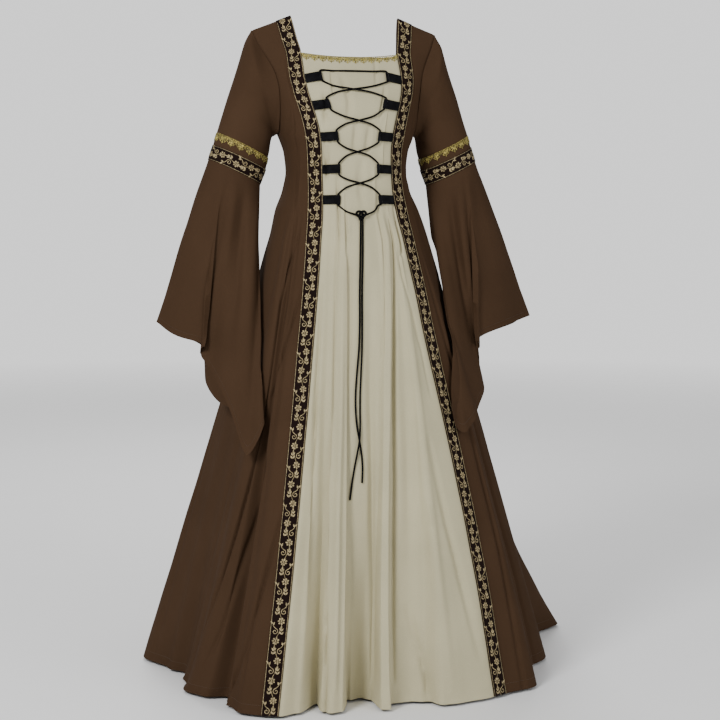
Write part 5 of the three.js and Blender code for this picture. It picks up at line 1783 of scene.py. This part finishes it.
class MakeLoops(DressOperator, bpy.types.Operator):
    """Makes the ten velvet loops, each a tape doubled round the lace"""
    bl_idname = "dress.make_loops"
    bl_label = "Velvet loops"

    def execute(self, context):
        sizes = self.sizes(context)
        width, thick = sizes.loop / MM, sizes.tape / MM
        for side, sign in SIDES.items():
            for index in range(len(LOOPS)):
                node = f"loop_{side}_{index + 1}"
                outer, inner = self.tape(sign, index, width, thick)
                item = link(f"{node}_tape", shell(f"{node}_tape", outer, inner),
                            materials()["velvet"])
                finished(item, [node])
        return {"FINISHED"}

    def profile(self):
        """The middle of the tape seen from its edge: out over the cloth, round the eye and back"""
        ring = (LOOP_EYE + LOOP_NOSE) / 2
        layer = TAPE_HALF / 2
        spread = math.asin(layer / ring)
        near = EYE_AT - ring * math.cos(spread)
        path = [(a, EYE_OUT - layer) for a in np.linspace(0, near, 9)[:-1]]
        for angle in np.linspace(math.pi + spread, 3 * math.pi - spread, 19):
            path.append((EYE_AT + ring * math.cos(angle), EYE_OUT + ring * math.sin(angle)))
        return np.array(path + [(a, EYE_OUT + layer) for a in np.linspace(near, 0, 9)[1:]])

    def tape(self, sign, index, width, thick):
        z, rise = LOOPS[index]
        path = self.profile()
        ahead = np.gradient(path, axis=0)
        ahead /= np.linalg.norm(ahead, axis=1, keepdims=True)
        beside = np.stack([ahead[:, 1], -ahead[:, 0]], 1)
        grids = []
        for way in (1, -1):
            grid = []
            for w in np.linspace(-1, 1, 9):
                half = thick / 2 * (1 - 0.55 * abs(w) ** 6)
                line = []
                for along, out in path + beside * way * half:
                    high = z + w * width / 2 + rise * along / LOOP_LENGTH
                    ease = 1 - float(smooth(along / (EYE_AT - LOOP_LEVEL)))
                    drop = (EYE_OUT - TAPE_HALF - LOOP_LIFT) * ease
                    line.append(over_front(sign * (loop_start(high) - along), high, out - drop))
                grid.append(line)
            grids.append(np.array(grid))
        return grids


class MakeStitches(DressOperator, bpy.types.Operator):
    """Makes the stitches along the ribbons' edges and above the hems"""
    bl_idname = "dress.make_stitches"
    bl_label = "Stitching"

    def execute(self, context):
        finish, steps = materials(), STEPS["stitches"]
        for side in SIDES:
            columns = on_side(side, np.linspace(SEAM_TURN, RIBBON_TURN, 5))
            front = side_strokes(side, False)
            points, normals = panel_surface(columns, body_levels(), False, front)
            sizes = self.sizes(context)
            points = moved(points, normals, (sizes.lift + sizes.ribbon) / MM)
            down = along_rows(points)[1][:, 2]
            across = (np.abs(columns) - SEAM_TURN) / (RIBBON_TURN - SEAM_TURN) - 0.5
            self.row(context, f"front_ribbon_{side}_stitches", points, normals,
                     across[None, :] * RIBBON_WIDTH, down[:, None], (-STITCH_EDGE, STITCH_EDGE),
                     finish["stitch"])
            before = on_side(side, spaced([SEAM_TURN, RIBBON_TURN, 90], steps["side"]))
            self.hem(context, side, before, False, front, "side_front")
            behind = on_side(side, spaced([90, 180], steps["back"]))
            self.hem(context, side, behind, True, side_strokes(side, True), "back")
            shares = np.linspace(CUFF_STITCHES["share"], 1, 5)
            points, normals = lower_sleeve_surface(side, hem_turns(side), shares)
            run, fall = along_rows(points)
            self.row(context, f"lower_sleeve_{side}_stitches", points, normals,
                     fall.mean(1)[:, None] - fall.mean(1)[-1], run[-1][None, :],
                     (-CUFF_STITCHES["above"],),
                     finish["stitch"])
        middle = spaced([-SEAM_TURN, SEAM_TURN], steps["front"])
        self.hem(context, "middle", middle, False, FRONT_CREASES, "front", "pale stitch")
        return {"FINISHED"}

    def hem(self, context, side, columns, back, strokes, panel, thread="stitch"):
        levels = np.linspace(HEM + HEM_BAND, HEM, 6)
        points, normals = panel_surface(columns, levels, back, strokes)
        run = along_rows(points)[0][-1]
        up = np.linspace(-HEM_BAND, 0, 6)[:, None]
        height = -self.sizes(context).hem / MM
        self.row(context, f"{panel}_{side}_hem_stitches", points, normals, up, run[None, :],
                 (height,), materials()[thread])

    def row(self, context, name, points, normals, across, along, places, thread):
        sizes = self.sizes(context)
        length = float(np.max(along))
        count = int(length / (sizes.pitch / MM))
        surface = carrier(f"{name}_surface", points, normals, across, along)
        unit = stitch_unit(places, sizes.stitch / MM)
        item = laid(name, surface, unit, count, length / count, 0.02, thread)
        finished(item, [])


OPERATORS = (
    MakeStage, MakeLace, MakeFrontPanel, MakeSideFronts, MakeBacks, MakeUpperSleeves,
    MakeLowerSleeves, MakeRibbons, MakeBraids, MakeLoops, MakeStitches,
)


class DressPanel(bpy.types.Panel):
    """Lists the operators of the dress and its sizes and colours"""
    bl_idname = "VIEW3D_PT_dress"
    bl_label = "Historical dress"
    bl_space_type = "VIEW_3D"
    bl_region_type = "UI"
    bl_category = "Dress"

    def draw(self, context):
        for operator in OPERATORS:
            self.layout.operator(operator.bl_idname)
        for group in (context.scene.dress_sizes, context.scene.dress_colours):
            for name in group.bl_rna.properties.keys():
                if name not in ("rna_type", "name"):
                    self.layout.prop(group, name)


CLASSES = (DressSizes, DressColours, *OPERATORS, DressPanel)


def register():
    for item in CLASSES:
        bpy.utils.register_class(item)
    bpy.types.Scene.dress_sizes = PointerProperty(type=DressSizes)
    bpy.types.Scene.dress_colours = PointerProperty(type=DressColours)


def unregister():
    del bpy.types.Scene.dress_colours
    del bpy.types.Scene.dress_sizes
    for item in reversed(CLASSES):
        bpy.utils.unregister_class(item)


def main():
    register()
    for operator in OPERATORS:
        area, name = operator.bl_idname.split(".")
        if getattr(getattr(bpy.ops, area), name)() != {"FINISHED"}:
            raise RuntimeError(f"{operator.bl_label} wasn't made")


if __name__ == "__main__":
    main()
